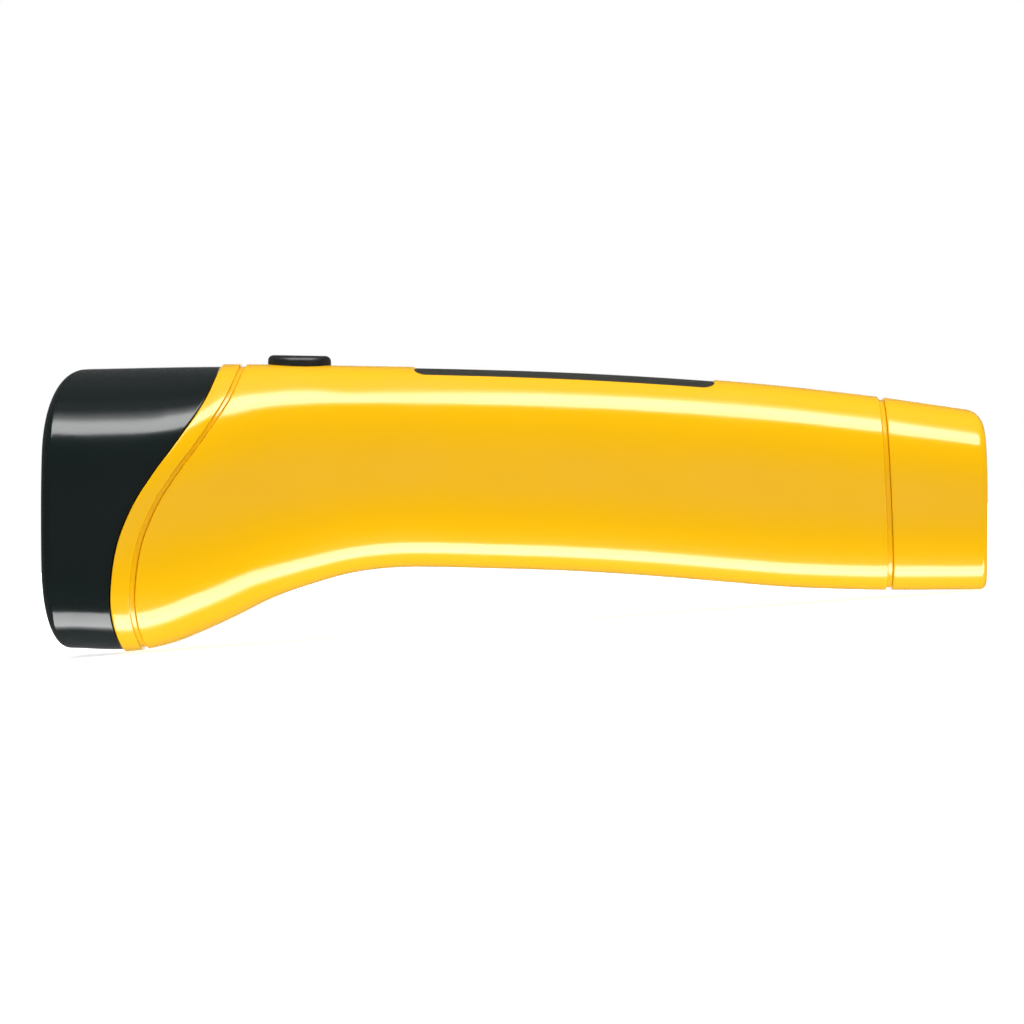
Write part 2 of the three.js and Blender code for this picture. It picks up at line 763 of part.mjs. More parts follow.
// An involute gear's outline round its own axis, with one tooth pointing along toothAngle.
function gearShape(teeth, toothAngle, boreRadius) {
  const pitch = (gearModule * teeth) / 2;
  const base = pitch * Math.cos(THREE.MathUtils.degToRad(pressureAngle));
  const root = pitch - dedendumShare * gearModule;
  const tip = tipRadius(teeth);
  const involute = (radius) => Math.sqrt((radius / base) ** 2 - 1) - Math.acos(base / radius);
  const halfAtPitch = Math.PI / (2 * teeth) - backlash / (4 * pitch);
  const halfAt = (radius) => halfAtPitch + involute(pitch) - involute(Math.max(radius, base));
  const start = Math.max(base, root);
  const radii = Array.from(
    { length: flankSteps + 1 }, (_, i) => THREE.MathUtils.lerp(start, tip, i / flankSteps));
  if (root < base) radii.unshift(root);
  const points = [];
  for (let tooth = 0; tooth < teeth; tooth += 1) {
    const centre = toothAngle + (2 * Math.PI * tooth) / teeth;
    for (const radius of radii) points.push([radius, centre - halfAt(radius)]);
    for (const radius of radii.toReversed()) points.push([radius, centre + halfAt(radius)]);
  }
  const shape = new THREE.Shape(points.map(([radius, angle]) => new THREE.Vector2(
    radius * Math.cos(angle),
    radius * Math.sin(angle),
  )));
  shape.holes.push(new THREE.Path(circlePoints(boreRadius, wheelSides)));
  return shape;
}

function gearAt(axis, teeth, toothAngle, boreRadius, from, to) {
  return prismY(gearShape(teeth, toothAngle, boreRadius), from, to).translate(axis.x, 0, axis.z);
}

const pinionAngle = (turn) => turn + Math.PI + Math.PI / pinionTeeth;

// Layers of the gear train across the body
const mainGearOuter = mainGearInner + mainGearFace;
const firstWheelOuter = mainGearInner - layerGap;
const firstWheelInner = firstWheelOuter - wheelFace;
const secondWheelOuter = firstWheelInner - layerGap;
const secondWheelInner = secondWheelOuter - wheelFace;
const plateInner = platePlane - plateThickness;
const crankBossOuter = sideLine(crankX) + crankBossProud;
const crankBossInner = mainGearOuter + crankBossGearGap;

// Places that several pieces share
const cradleFront = crankX + tipRadius(mainTeeth) + cradleGearGap;
const cradleRear = tailSeam - cradleSetback;
const clusterHeight = middleLine(tailSeam);
const screwRearX = cradleFront - fitGap - screwBossRadius;
const screwRearDrop = (clearance) => Math.sqrt(
  (tipRadius(mainTeeth) + screwBossRadius + clearance) ** 2 - (screwRearX - crankX) ** 2);
const screwMiddleX = THREE.MathUtils.lerp(secondAxis.x, firstAxis.x, screwMiddleShare);
const screwPlaces = [
  { x: boardFront + screwFrontReach, z: screwFrontShare * headTopHeight },
  { x: screwMiddleX, z: screwMiddleDepthShare * headTopHeight },
  { x: screwRearX, z: crankZ - screwRearDrop(screwRearLowerClearance) },
  { x: screwRearX, z: crankZ + screwRearDrop(screwRearUpperClearance) },
];

function placeRound(axis, distance, degrees) {
  const turn = THREE.MathUtils.degToRad(degrees);
  return { x: axis.x + distance * Math.cos(turn), z: axis.z + distance * Math.sin(turn) };
}

const postRearReach = tipRadius(mainTeeth) + postRadius + postRearClearance;
const postFrontReach = canRadius + plateScrewHeadRadius + postFrontClearance;
const rearPosts = [postRearLowerAngle, postRearUpperAngle].map(
  (angle) => placeRound(crankAxis, postRearReach, angle));
const frontPosts = [postFrontAngle, -postFrontAngle].map(
  (angle) => placeRound(rotorAxis, postFrontReach, angle));
const plateScrewPlaces = [frontPosts[0], rearPosts[0]];
const postPlaces = [...plateScrewPlaces, frontPosts[1], rearPosts[1]];
const boardTop = boardHeight + boardThickness;
const buttonFlangeTop = topLine(buttonCentre) - buttonFlangeDrop;
const handleFront = seamFar;

function buttonOutline(margin) {
  const halfLength = buttonLength / 2 + margin;
  return roundedRectangle(buttonCentre, 0, halfLength, buttonWidth / 2 + margin, buttonCornerRadius + margin);
}

function labelOutline(margin) {
  const centre = labelFront + labelLength / 2;
  const halfLength = labelLength / 2 + margin;
  return roundedRectangle(centre, 0, halfLength, labelHalfWidth + margin, labelCornerRadius + margin);
}

function labelSlab(margin, upperInset, lowerInset) {
  const from = labelFront - margin;
  const to = labelFront + labelLength + margin;
  const slab = skinSlab(from, to, labelHalfWidth + margin, upperInset, lowerInset, slabSteps);
  return common(slab, prismZ(labelOutline(margin), 0, 2 * headTopHeight));
}

// Handle shells, with their bosses, posts and rails
const shellCore = bulkhead(handleFront, tailSeam - spigotReach, bossSkinInset, lengthSteps);

function insideBoss(side, radius, place, innerY, sides) {
  const reach = side * headHalfWidth;
  const [from, to] = side > 0 ? [innerY, reach] : [reach, innerY];
  return common(cylinderY(radius, from, to, place.x, place.z, sides), shellCore);
}

function boardRail(side) {
  const centre = boardFront + boardLength / 2;
  const top = boardHeight - fitGap;
  const [from, to] = [side * (boardHalfWidth - railInset), side * headHalfWidth].sort((a, b) => a - b);
  const rail = block(centre - railLength / 2, centre + railLength / 2, from, to, top - railHeight, top);
  return common(rail, shellCore);
}

function leftShell() {
  const bosses = screwPlaces.map(
    (place) => insideBoss(-1, screwBossRadius, place, -partingGap / 2, pinSides));
  const joined = join(shellBlank(-1), [...bosses, boardRail(-1)]);
  const holes = screwPlaces.map(({ x, z }) => cylinderY(
    screwRadius + fitGap, -screwReach - fitGap, overrun, x, z, pinSides));
  return cut(joined, [...holes, ...topOpenings()]);
}

function topOpenings() {
  return [
    labelSlab(fitGap, -overrun, labelRecess + labelThickness + fitGap),
    prismZ(buttonOutline(fitGap), buttonFlangeTop - overrun, buttonFlangeTop + overrun),
  ];
}

function rightShell() {
  const bossBore = shaftRadius + fitGap + bushWall + fitGap;
  const bosses = screwPlaces.map((place) => insideBoss(1, screwBossRadius, place, partingGap / 2, pinSides));
  const posts = postPlaces.map((place) => insideBoss(1, postRadius, place, platePlane + fitGap, pinSides));
  const axleBosses = [
    insideBoss(1, axleBossRadius, firstAxis, mainGearOuter + layerGap, pinSides),
    insideBoss(1, axleBossRadius, secondAxis, firstWheelOuter + layerGap, pinSides),
  ];
  const crankBoss = cylinderY(crankBossRadius, crankBossInner, crankBossOuter, crankX, crankZ, wheelSides);
  const joined = join(shellBlank(1), [...bosses, ...posts, ...axleBosses, boardRail(1), crankBoss]);
  const screwHoles = screwPlaces.flatMap(({ x, z }) => [
    cylinderY(screwRadius + fitGap, -overrun, screwSeat + overrun, x, z, pinSides),
    cylinderY(screwHeadRadius + fitGap, screwSeat, screwSeat + overrun, x, z, pinSides),
  ]);
  const postHoles = plateScrewPlaces.map(({ x, z }) => cylinderY(
    plateScrewRadius + fitGap, platePlane - overrun, platePlane + plateScrewReach + fitGap, x, z, pinSides));
  const axleHoles = [
    axleHole(firstAxis, mainGearOuter),
    axleHole(secondAxis, firstWheelOuter),
  ];
  const crankBore = cylinderY(bossBore, 0, headHalfWidth, crankX, crankZ, wheelSides);
  return cut(joined, [...screwHoles, ...postHoles, ...axleHoles, crankBore, ...topOpenings()]);
}

function axleOuterEnd(face) {
  return face + layerGap + axleSeatDepth;
}

function axleHole(axis, face) {
  return cylinderY(axleRadius + fitGap, 0, axleOuterEnd(face) + fitGap, axis.x, axis.z, pinSides);
}

addPiece('left_shell', leftShell(), 'yellow');
addPiece('right_shell', rightShell(), 'yellow');
addPiece('front_collar', ringSurface(collarProfile, roundSteps), 'yellow');
addPiece('head_housing', ringSurface(headProfile, roundSteps), 'black');
addPiece('label_plate', labelSlab(0, labelRecess, labelRecess + labelThickness), 'charcoal');

// Ring in the spigot's groove that seals the tail cap
function sealProfile(angle) {
  const outer = wall + fitGap;
  const inner = outer + sealThickness - fitGap;
  const front = sealSetback + fitGap;
  return [
    seamPoint(capSeam, front, angle, inner),
    seamPoint(capSeam, front, angle, outer),
    seamPoint(capSeam, front + sealWidth, angle, outer),
    seamPoint(capSeam, front + sealWidth, angle, inner),
  ];
}

addPiece('tail_seal', ringSurface(sealProfile, roundSteps), 'rubber');

// Lens, gasket and reflector, stacked behind the bezel
const lensFront = bezelDepth + fitGap;
const gasketFront = lensFront + lensThickness + fitGap;
const reflectorFront = gasketFront + gasketThickness + fitGap;
const reflectorRear = reflectorFront + reflectorFlange + reflectorDepth;
const seatRadius = lensBoreRadius - fitGap;

function lensPairs() {
  const clear = bezelOpeningRadius - fitGap;
  const dome = Array.from({ length: edgeSteps + 1 }, (_, i) => {
    const share = i / edgeSteps;
    return [clear * share, lensFront - lensDome * (1 - share * share)];
  });
  const rear = lensFront + lensThickness;
  return [...dome, [seatRadius, lensFront], [seatRadius, rear], [0, rear]];
}

function reflectorPairs() {
  const bowl = (share) => Math.sqrt(
    THREE.MathUtils.lerp(reflectorMouthRadius ** 2, reflectorRearRadius ** 2, share));
  const shares = Array.from({ length: bowlSteps + 1 }, (_, i) => i / bowlSteps);
  const along = (share) => THREE.MathUtils.lerp(reflectorFront, reflectorRear, share);
  const inner = shares.map((share) => [bowl(share), along(share)]);
  const outerShares = shares.slice(1, -1).toReversed();
  const outer = outerShares.map((share) => [bowl(share) + reflectorWall, along(share) - reflectorWall / 2]);
  const flangeRear = reflectorFront + reflectorFlange;
  return [
    ...inner,
    [reflectorRearRadius + reflectorRearRim, reflectorRear],
    [reflectorRearRadius + reflectorRearRim, reflectorRear - reflectorWall],
    ...outer.filter(([, x]) => x > flangeRear && x < reflectorRear - reflectorWall),
    [reflectorMouthRadius + reflectorWall, flangeRear],
    [seatRadius, flangeRear],
    [seatRadius, reflectorFront],
    [reflectorMouthRadius, reflectorFront],
  ];
}

const gasketPairs = tubePairs(
  seatRadius - gasketWidth, seatRadius, gasketFront, gasketFront + gasketThickness);
addPiece('lens', turnedX(lensPairs(), 0, 0, roundSteps), 'clear');
addPiece('lens_gasket', turnedX(gasketPairs, 0, 0, roundSteps), 'rubber');
addPiece('reflector', turnedX(reflectorPairs(), 0, 0, roundSteps), 'mirror');

// Light source: a round board with its LEDs in a ring
const ledBoardFront = reflectorRear + fitGap;
const ledRear = ledBoardFront - fitGap;
const ledBoardRear = ledBoardFront + ledBoardThickness;

function ledPairs() {
  const domeCentre = ledRear - ledLength + ledRadius;
  const dome = Array.from({ length: edgeSteps + 1 }, (_, i) => {
    const turn = (Math.PI / 2) * (i / edgeSteps);
    return [ledRadius * Math.sin(turn), domeCentre - ledRadius * Math.cos(turn)];
  });
  const rim = ledRear - ledRimThickness;
  return [...dome, [ledRadius, rim], [ledRimRadius, rim], [ledRimRadius, ledRear], [0, ledRear]];
}

addPiece('led_board', cylinderX(ledBoardRadius, ledBoardFront, ledBoardRear, 0, 0, wheelSides), 'board');
for (let i = 0; i < ledCount; i += 1) {
  const angle = Math.PI / 2 + (2 * Math.PI * i) / ledCount;
  const [y, z] = [ledRingRadius * Math.cos(angle), ledRingRadius * Math.sin(angle)];
  addPiece(`led_${i + 1}`, turnedX(ledPairs(), y, z, pinSides), 'clear');
}

// Main board, switch and power button
const boardRear = boardFront + boardLength;
const switchBase = boardTop + fitGap;
const switchTop = switchBase + switchHeight;
const plungerTop = switchTop + plungerReach;
const plungerBase = switchTop - plungerDepth;

function switchHousing() {
  const halfLength = switchLength / 2;
  const body = block(
    buttonCentre - halfLength, buttonCentre + halfLength, -switchWidth / 2, switchWidth / 2, switchBase,
    switchTop);
  const well = cylinderZ(
    plungerRadius + fitGap, plungerBase - buttonTravel - fitGap, switchTop + overrun, buttonCentre, 0,
    pinSides);
  return cut(body, [well]);
}

function powerButton() {
  const reach = buttonLength / 2 + fitGap;
  const crown = skinSlab(
    buttonCentre - reach, buttonCentre + reach, buttonWidth / 2 + fitGap, -buttonProud, buttonFlangeDrop,
    slabSteps);
  const cap = common(crown, prismZ(buttonOutline(0), 0, 2 * headTopHeight));
  const flange = prismZ(
    buttonOutline(buttonFlangeRim), buttonFlangeTop - buttonFlangeThickness, buttonFlangeTop);
  const stem = cylinderZ(stemRadius, plungerTop + fitGap, buttonFlangeTop, buttonCentre, 0, pinSides);
  return join(cap, [flange, stem]);
}

const springFoot = switchTop + fitGap + springWireRadius;
const springHead = buttonFlangeTop - buttonFlangeThickness - fitGap - springWireRadius;
const buttonSpring = coilSpring(buttonSpringRadius, springFoot, springHead, buttonSpringTurns);
const plunger = cylinderZ(plungerRadius, plungerBase, plungerTop, buttonCentre, 0, pinSides);
const boardBlock = block(boardFront, boardRear, -boardHalfWidth, boardHalfWidth, boardHeight, boardTop);
addPiece('main_board', boardBlock, 'board');
addPiece('switch_housing', switchHousing(), 'black');
addPiece('power_button', powerButton(), 'black', buttonCentre, 0, buttonFlangeTop);
addPiece('switch_plunger', plunger, 'whitePlastic', buttonCentre, 0, plungerBase);
addPiece('button_spring', buttonSpring.translate(buttonCentre, 0, 0), 'steel', buttonCentre, 0, springFoot);

// Gear plate, with the axles and the crank shaft's end in it
function gearPlate() {
  const front = frontPosts[0].x - plateMargin;
  const rear = crankX + shaftEndRadius + plateMargin;
  const middle = (front + rear) / 2;
  const outline = roundedRectangle(
    middle, firstAxis.z, (rear - front) / 2, plateHalfHeight, plateCornerRadius);
  const ears = rearPosts.flatMap(({ x, z }) => {
    const [from, to] = [z, firstAxis.z].sort((a, b) => a - b);
    return [
      cylinderY(earRadius, plateInner, platePlane, x, z, wheelSides),
      block(x - earRadius, x + earRadius, plateInner, platePlane, from, to),
    ];
  });
  const hole = (radius, { x, z }) => cylinderY(radius + fitGap, -overrun, overrun, x, z, pinSides);
  const holes = [
    hole(shaftEndRadius, crankAxis),
    hole(axleRadius, firstAxis),
    hole(axleRadius, secondAxis),
    hole(axleRadius, rotorAxis),
    ...plateScrewPlaces.map((place) => hole(plateScrewRadius, place)),
  ];
  return cut(join(prismY(outline, plateInner, platePlane), ears), holes);
}

function axlePin(axis, outerEnd) {
  return cylinderY(axleRadius, plateInner + axleEndInset, outerEnd, axis.x, axis.z, pinSides);
}

addPiece('gear_plate', gearPlate(), 'whitePlastic');
addPiece('axle_1', axlePin(firstAxis, axleOuterEnd(mainGearOuter)), 'steel');
addPiece('axle_2', axlePin(secondAxis, axleOuterEnd(firstWheelOuter)), 'steel');

// Gears between the crank and the generator, each a wheel with the pinion beside it
function compoundGear(axis, next, teeth, inner, outer, pinionOuter) {
  const wheel = gearAt(axis, teeth, next.turn, axleRadius + fitGap, inner, outer);
  const pinionFrom = outer - wheelFace / 2;
  const pinion = gearAt(
    axis, pinionTeeth, pinionAngle(axis.turn), axleRadius + fitGap, pinionFrom, pinionOuter);
  return join(wheel, [pinion]);
}

const mainBore = shaftRadius + fitGap;
const mainGear = gearAt(crankAxis, mainTeeth, firstAxis.turn, mainBore, mainGearInner, mainGearOuter);
const firstGear = compoundGear(
  firstAxis, secondAxis, firstWheelTeeth, firstWheelInner, firstWheelOuter, mainGearOuter);
const secondGear = compoundGear(
  secondAxis, rotorAxis, secondWheelTeeth, secondWheelInner, secondWheelOuter, firstWheelOuter);
const rotorPinion = gearAt(
  rotorAxis, pinionTeeth, pinionAngle(rotorAxis.turn), axleRadius + fitGap, secondWheelInner,
  secondWheelOuter);
addPiece('main_gear', mainGear, 'whitePlastic', crankX, mainGearInner, crankZ);
addPiece('gear_1', firstGear, 'whitePlastic', firstAxis.x, firstWheelInner, firstAxis.z);
addPiece('gear_2', secondGear, 'whitePlastic', secondAxis.x, secondWheelInner, secondAxis.z);
addPiece('rotor_pinion', rotorPinion, 'brass', rotorAxis.x, secondWheelInner, rotorAxis.z);

// Generator: a can against the gear plate, a fixed coil ring and the magnet on the rotor's shaft
const canMouth = plateInner - fitGap;
const canFloor = -canReachShare * headHalfWidth;
const coilOuter = canRadius - canWall - fitGap;
const coilFrom = canFloor + canWall + fitGap;
const coilLength = canMouth - coilSetback - coilFrom;
const magnetLength = coilLength - magnetTrim;
const magnetRadius = coilOuter - coilThickness - magnetCoilGap;
const canPairs = [
  [0, canFloor], [canRadius, canFloor], [canRadius, canMouth], [canRadius - canWall, canMouth],
  [canRadius - canWall, canFloor + canWall], [0, canFloor + canWall],
];
const coilPairs = tubePairs(coilOuter - coilThickness, coilOuter, coilFrom, coilFrom + coilLength);
const magnetFrom = coilFrom + (coilLength - magnetLength) / 2;
const magnetPairs = tubePairs(axleRadius + fitGap, magnetRadius, magnetFrom, magnetFrom + magnetLength);
const rotorShaft = cylinderY(
  axleRadius, canFloor + canWall + fitGap, secondWheelOuter + axleEndInset, rotorAxis.x, rotorAxis.z,
  pinSides);
addPiece('generator_can', turnedY(canPairs, rotorAxis.x, rotorAxis.z, wheelSides), 'steel');
addPiece('generator_coil', turnedY(coilPairs, rotorAxis.x, rotorAxis.z, wheelSides), 'copper');
addPiece('rotor_magnet', turnedY(magnetPairs, rotorAxis.x, rotorAxis.z, wheelSides), 'steel');
addPiece('rotor_shaft', rotorShaft, 'steel', rotorAxis.x, 0, rotorAxis.z);

// Crank shaft, its bush, the arm and the arm's screw
const armInner = crankBossOuter + fitGap;
const armOuter = armInner + armHubThickness;
const armMiddle = (armInner + armOuter) / 2;
const armScrewSeat = armOuter - armScrewHeadHeight - fitGap;
const shaftTop = armScrewSeat - armWeb - fitGap;
const shaftStep = crankBossOuter + fitGap / 2;
const shaftHole = shaftTop - armScrewReach;

const shaftPairs = [
  [0, plateInner + axleEndInset],
  [shaftEndRadius, plateInner + axleEndInset],
  [shaftEndRadius, platePlane + fitGap],
  [shaftRadius, platePlane + fitGap],
  [shaftRadius, shaftStep],
  [armSeatRadius, shaftStep],
  [armSeatRadius, shaftTop],
  [screwRadius + fitGap, shaftTop],
  [screwRadius + fitGap, shaftHole],
  [0, shaftHole],
];
const bushPairs = tubePairs(
  shaftRadius + fitGap, shaftRadius + fitGap + bushWall, crankBossInner, crankBossOuter);
addPiece('crank_shaft', turnedY(shaftPairs, crankX, crankZ, wheelSides), 'steel', crankX, 0, crankZ);
addPiece('crank_bush', turnedY(bushPairs, crankX, crankZ, wheelSides), 'brass');

// The arm is drawn along +X from the shaft, then turned down to its rest.
const armEndCentre = crankRadius + armEndStep;
const slotInnerEnd = crankRadius - slotInnerRoom;
const slotOuterEnd = crankRadius + slotOuterRoom;

function onArm(geometry) {
  return geometry.rotateY(THREE.MathUtils.degToRad(armDroop)).translate(crankX, 0, crankZ);
}

function crankArm() {
  const barShape = new THREE.Shape();
  barShape.absarc(0, 0, armHubRadius, Math.PI / 2, 1.5 * Math.PI);
  barShape.absarc(armEndCentre, 0, armEndRadius, -Math.PI / 2, Math.PI / 2);
  const barBody = prismY(barShape, armMiddle - armThickness / 2, armMiddle + armThickness / 2);
  const hub = cylinderY(armHubRadius, armInner, armOuter, 0, 0, wheelSides);
  const slotMiddle = (slotInnerEnd + slotOuterEnd) / 2;
  const slotHalf = (slotOuterEnd - slotInnerEnd) / 2;
  const slot = prismY(
    roundedRectangle(slotMiddle, 0, slotHalf, slotHalfWidth, slotCornerRadius), 0, 2 * armOuter);
  const seat = cylinderY(armSeatRadius + fitGap, 0, shaftTop + fitGap, 0, 0, wheelSides);
  const through = cylinderY(screwRadius + fitGap, 0, 2 * armOuter, 0, 0, pinSides);
  const recess = cylinderY(
    armScrewHeadRadius + fitGap, armScrewSeat - fitGap, armOuter + overrun, 0, 0, wheelSides);
  const pinHole = cylinderZ(hingePinRadius + fitGap, -overrun, overrun, crankRadius, armMiddle, pinSides);
  return cut(join(barBody, [hub]), [slot, seat, through, recess, pinHole]);
}

const armScrewPairs = [
  [0, shaftHole + fitGap],
  [screwRadius, shaftHole + fitGap],
  [screwRadius, armScrewSeat],
  [armScrewHeadRadius, armScrewSeat],
  [armScrewHeadRadius, armScrewSeat + armScrewHeadHeight],
  [0, armScrewSeat + armScrewHeadHeight],
];
const pinReach = armEndRadius - fitGap;
const hingePin = cylinderZ(hingePinRadius, -pinReach, pinReach, crankRadius, armMiddle, pinSides);
addPiece('crank_arm', onArm(crankArm()), 'black', crankX, armMiddle, crankZ);
const armScrew = turnedY(armScrewPairs, crankX, crankZ, pinSides);
addPiece('arm_screw', armScrew, 'steel', crankX, armScrewSeat, crankZ);
addPiece('knob_hinge_pin', onArm(hingePin), 'steel');

const droop = THREE.MathUtils.degToRad(armDroop);
const hingePlace = { x: crankX + crankRadius * Math.cos(droop), z: crankZ - crankRadius * Math.sin(droop) };

// Folding knob: a stub on the hinge pin, a sleeve that spins on it and the rivet that holds the sleeve
const sleeveOuterEnd = crankRadius - knobBarrelRadius - fitGap;
const sleeveInnerEnd = crankRadius - knobReach + knobRivetThickness + fitGap;
const stubEnd = sleeveInnerEnd + knobRivetSpigot + fitGap;

function knobStub() {
  const reach = slotHalfWidth - fitGap;
  const barrel = cylinderZ(knobBarrelRadius, -reach, reach, crankRadius, armMiddle, wheelSides);
  const rod = cylinderX(knobShaftRadius, stubEnd, crankRadius, armMiddle, 0, pinSides);
  const bore = cylinderZ(hingePinRadius + fitGap, -overrun, overrun, crankRadius, armMiddle, pinSides);
  return cut(join(barrel, [rod]), [bore]);
}

const rivetPairs = [
  [0, sleeveInnerEnd - fitGap - knobRivetThickness],
  [knobRivetRadius, sleeveInnerEnd - fitGap - knobRivetThickness],
  [knobRivetRadius, sleeveInnerEnd - fitGap],
  [knobShaftRadius, sleeveInnerEnd - fitGap],
  [knobShaftRadius, stubEnd - fitGap],
  [0, stubEnd - fitGap],
];
const sleevePairs = tubePairs(knobShaftRadius + fitGap, knobRadius, sleeveInnerEnd, sleeveOuterEnd);
addPiece('knob_stub', onArm(knobStub()), 'black', hingePlace.x, armMiddle, hingePlace.z);
const sleeve = onArm(turnedX(sleevePairs, armMiddle, 0, wheelSides));
addPiece('knob_sleeve', sleeve, 'black', hingePlace.x, armMiddle, hingePlace.z);
addPiece('knob_rivet', onArm(turnedX(rivetPairs, armMiddle, 0, pinSides)), 'steel');

// Screws: the shell screws go in from the crank side, the plate screws from the other side.
function screwPairs(radius, headRadius, headHeight, seat, tip) {
  const outward = Math.sign(seat - tip);
  const top = seat + outward * headHeight;
  return [[0, tip], [radius, tip], [radius, seat], [headRadius, seat], [headRadius, top], [0, top]];
}

const shellScrewPairs = screwPairs(
  screwRadius, screwHeadRadius, screwHeadHeight, screwSeat + fitGap, -screwReach);
screwPlaces.forEach(({ x, z }, i) => {
  addPiece(`shell_screw_${i + 1}`, turnedY(shellScrewPairs, x, z, pinSides), 'steel');
});
const plateScrewPairs = screwPairs(
  plateScrewRadius, plateScrewHeadRadius, plateScrewHeadHeight, plateInner - fitGap,
  platePlane + plateScrewReach);
plateScrewPlaces.forEach(({ x, z }, i) => {
  addPiece(`plate_screw_${i + 1}`, turnedY(plateScrewPairs, x, z, pinSides), 'steel');
});

// Battery cells in their cradle, with the contacts at both ends
const spigotEnd = tailSeam + spigotReach;
const cellSideLimit = sideLine(spigotEnd) - spigotInset - spigotWall - cellSideRoom - cellSpacing / 2;
const cellHeightLimit = cellHeightShare * (topLine(spigotEnd) - bottomLine(spigotEnd));
const cellRadius = Math.min(cellSideLimit / 2, cellHeightLimit);
const clusterRadius = (2 * cellRadius + cellSpacing) / Math.sqrt(3);
const cellPlaces = Array.from({ length: cellCount }, (_, i) => {
  const angle = Math.PI / 2 + (2 * Math.PI * i) / cellCount;
  return { y: clusterRadius * Math.cos(angle), z: clusterHeight + clusterRadius * Math.sin(angle) };
});
const contactFront = cradleFront + cradlePlate + fitGap;
const contactRear = contactFront + contactThickness;
const contactPlateRadius = clusterRadius + contactRim;
const nubFront = contactFront + contactThickness + fitGap;
const cellFront = nubFront + cellNubLength;
const tailContactRear = bodyLength - wall - fitGap;
const tailContactFront = tailContactRear - tailContactThickness;
const cellRear = tailContactFront - cellSpringRoom;

function batteryCradle() {
  const inset = wall + fitGap;
  const frontPlate = bulkhead(cradleFront, cradleFront + cradlePlate, inset);
  const rearPlate = bulkhead(cradleRear - cradlePlate, cradleRear, inset);
  const boreRadius = cellRadius + cradleBoreGap;
  const tube = (radius, from, to) => cellPlaces.map(
    ({ y, z }) => cylinderX(radius, from, to, y, z, wheelSides));
  const tubes = tube(boreRadius + cradleTubeWall, cradleFront, cradleRear);
  const bores = tube(boreRadius, cradleFront + cradlePlate, cradleRear + overrun);
  const pocket = cylinderX(
    contactPlateRadius + fitGap, cradleFront + cradlePlate, contactRear + fitGap, 0, clusterHeight,
    wheelSides);
  const core = cylinderX(
    clusterRadius / 2, cradleFront + cradlePlate, cradleRear + overrun, 0, clusterHeight, wheelSides);
  const inside = bulkhead(cradleFront - overrun, cradleRear + overrun, inset, lengthSteps);
  const insideTubes = tubes.map((each) => common(each, inside));
  return cut(join(frontPlate, [rearPlate, ...insideTubes]), [...bores, pocket, core]);
}

const cellPairs = [
  [0, nubFront], [cellNubRadius, nubFront], [cellNubRadius, cellFront], [cellRadius, cellFront],
  [cellRadius, cellRear], [0, cellRear],
];
const frontContact = cylinderX(contactPlateRadius, contactFront, contactRear, 0, clusterHeight, wheelSides);
addPiece('battery_cradle', batteryCradle(), 'black');
addPiece('front_contact_plate', frontContact, 'steel');
cellPlaces.forEach(({ y, z }, i) => {
  addPiece(`battery_${i + 1}`, turnedX(cellPairs, y, z, wheelSides), 'cellWrap');
});

// Tail cap with its contact plate and springs
const cellSpringFrom = cellRear + fitGap + springWireRadius;
const cellSpringTo = tailContactFront - fitGap - springWireRadius;
const tailContact = cylinderX(
  contactPlateRadius, tailContactFront, tailContactRear, 0, clusterHeight, wheelSides);
addPiece('tail_cap', ringSurface(capProfile, roundSteps), 'yellow', bodyLength, 0, 0);
addPiece('tail_contact_plate', tailContact, 'steel');
cellPlaces.forEach(({ y, z }, i) => {
  const spring = coilSpring(cellSpringRadius, -cellSpringTo, -cellSpringFrom, cellSpringTurns);
  addPiece(`contact_spring_${i + 1}`, spring.rotateY(-Math.PI / 2).translate(0, y, z), 'steel');
});

// Wires, each along its own route
function addWire(name, finish, route, front, rear) {
  const curve = new THREE.CatmullRomCurve3(route.map(([along, across, up]) => new THREE.Vector3(
    THREE.MathUtils.lerp(front, rear, along),
    across * headHalfWidth,
    THREE.MathUtils.lerp(rotorAxis.z - canRadius, boardHeight, up),
  )));
  addPiece(name, bar(curve, wireRadius, wireSides, wireSteps), finish);
}

// Wires: shares of the way between two places along the body, of the head's half width,
// and of the way up from under the generator to the main board
const ledWireRedShares = [
  [0.0556, 0.1176, 0.3874], [0.3333, 0.1176, 0.3261], [0.7778, 0.1176, 0.5099], [1.1667, 0.1176, 0.755],
  [1.2778, 0.1176, 0.951],
];
const ledWireBlackShares = [
  [0.0556, -0.1176, 0.3874], [0.3333, -0.1176, 0.3261], [0.7778, -0.1176, 0.5099],
  [1.1667, -0.1176, 0.755], [1.2778, -0.1176, 0.951],
];
const cellWireRedShares = [
  [0.9887, -0.3137, 0.2649], [0.9011, -0.3725, 0.2343], [0.7134, -0.4118, 0.2036],
  [0.438, -0.4118, 0.1117], [0.3004, -0.3725, -0.0965], [0.1627, -0.298, -0.1272],
  [0.0501, -0.2588, -0.0782], [-0.0125, -0.2353, 0.2036], [-0.0313, -0.2353, 0.6324],
  [-0.0375, -0.2353, 0.951],
];
const cellWireBlackShares = [
  [0.9887, -0.3922, 0.3261], [0.9011, -0.4431, 0.2955], [0.7134, -0.4784, 0.2649],
  [0.438, -0.4784, 0.173], [0.3004, -0.4471, -0.0169], [0.1627, -0.3686, -0.1149],
  [0.0501, -0.3216, -0.0537], [-0.0125, -0.3059, 0.2649], [-0.0313, -0.3059, 0.6937],
  [-0.0375, -0.3059, 0.951],
];
const generatorWireRedShares = [
  [0.0125, -0.3137, 0.5099], [-0.005, -0.3137, 0.6018], [-0.01, -0.3137, 0.755],
  [-0.0125, -0.3137, 0.951],
];
const generatorWireBlackShares = [
  [0.0125, -0.2196, 0.6937], [-0.0025, -0.2039, 0.7427], [-0.0088, -0.1725, 0.8162],
  [-0.0125, -0.1569, 0.951],
];

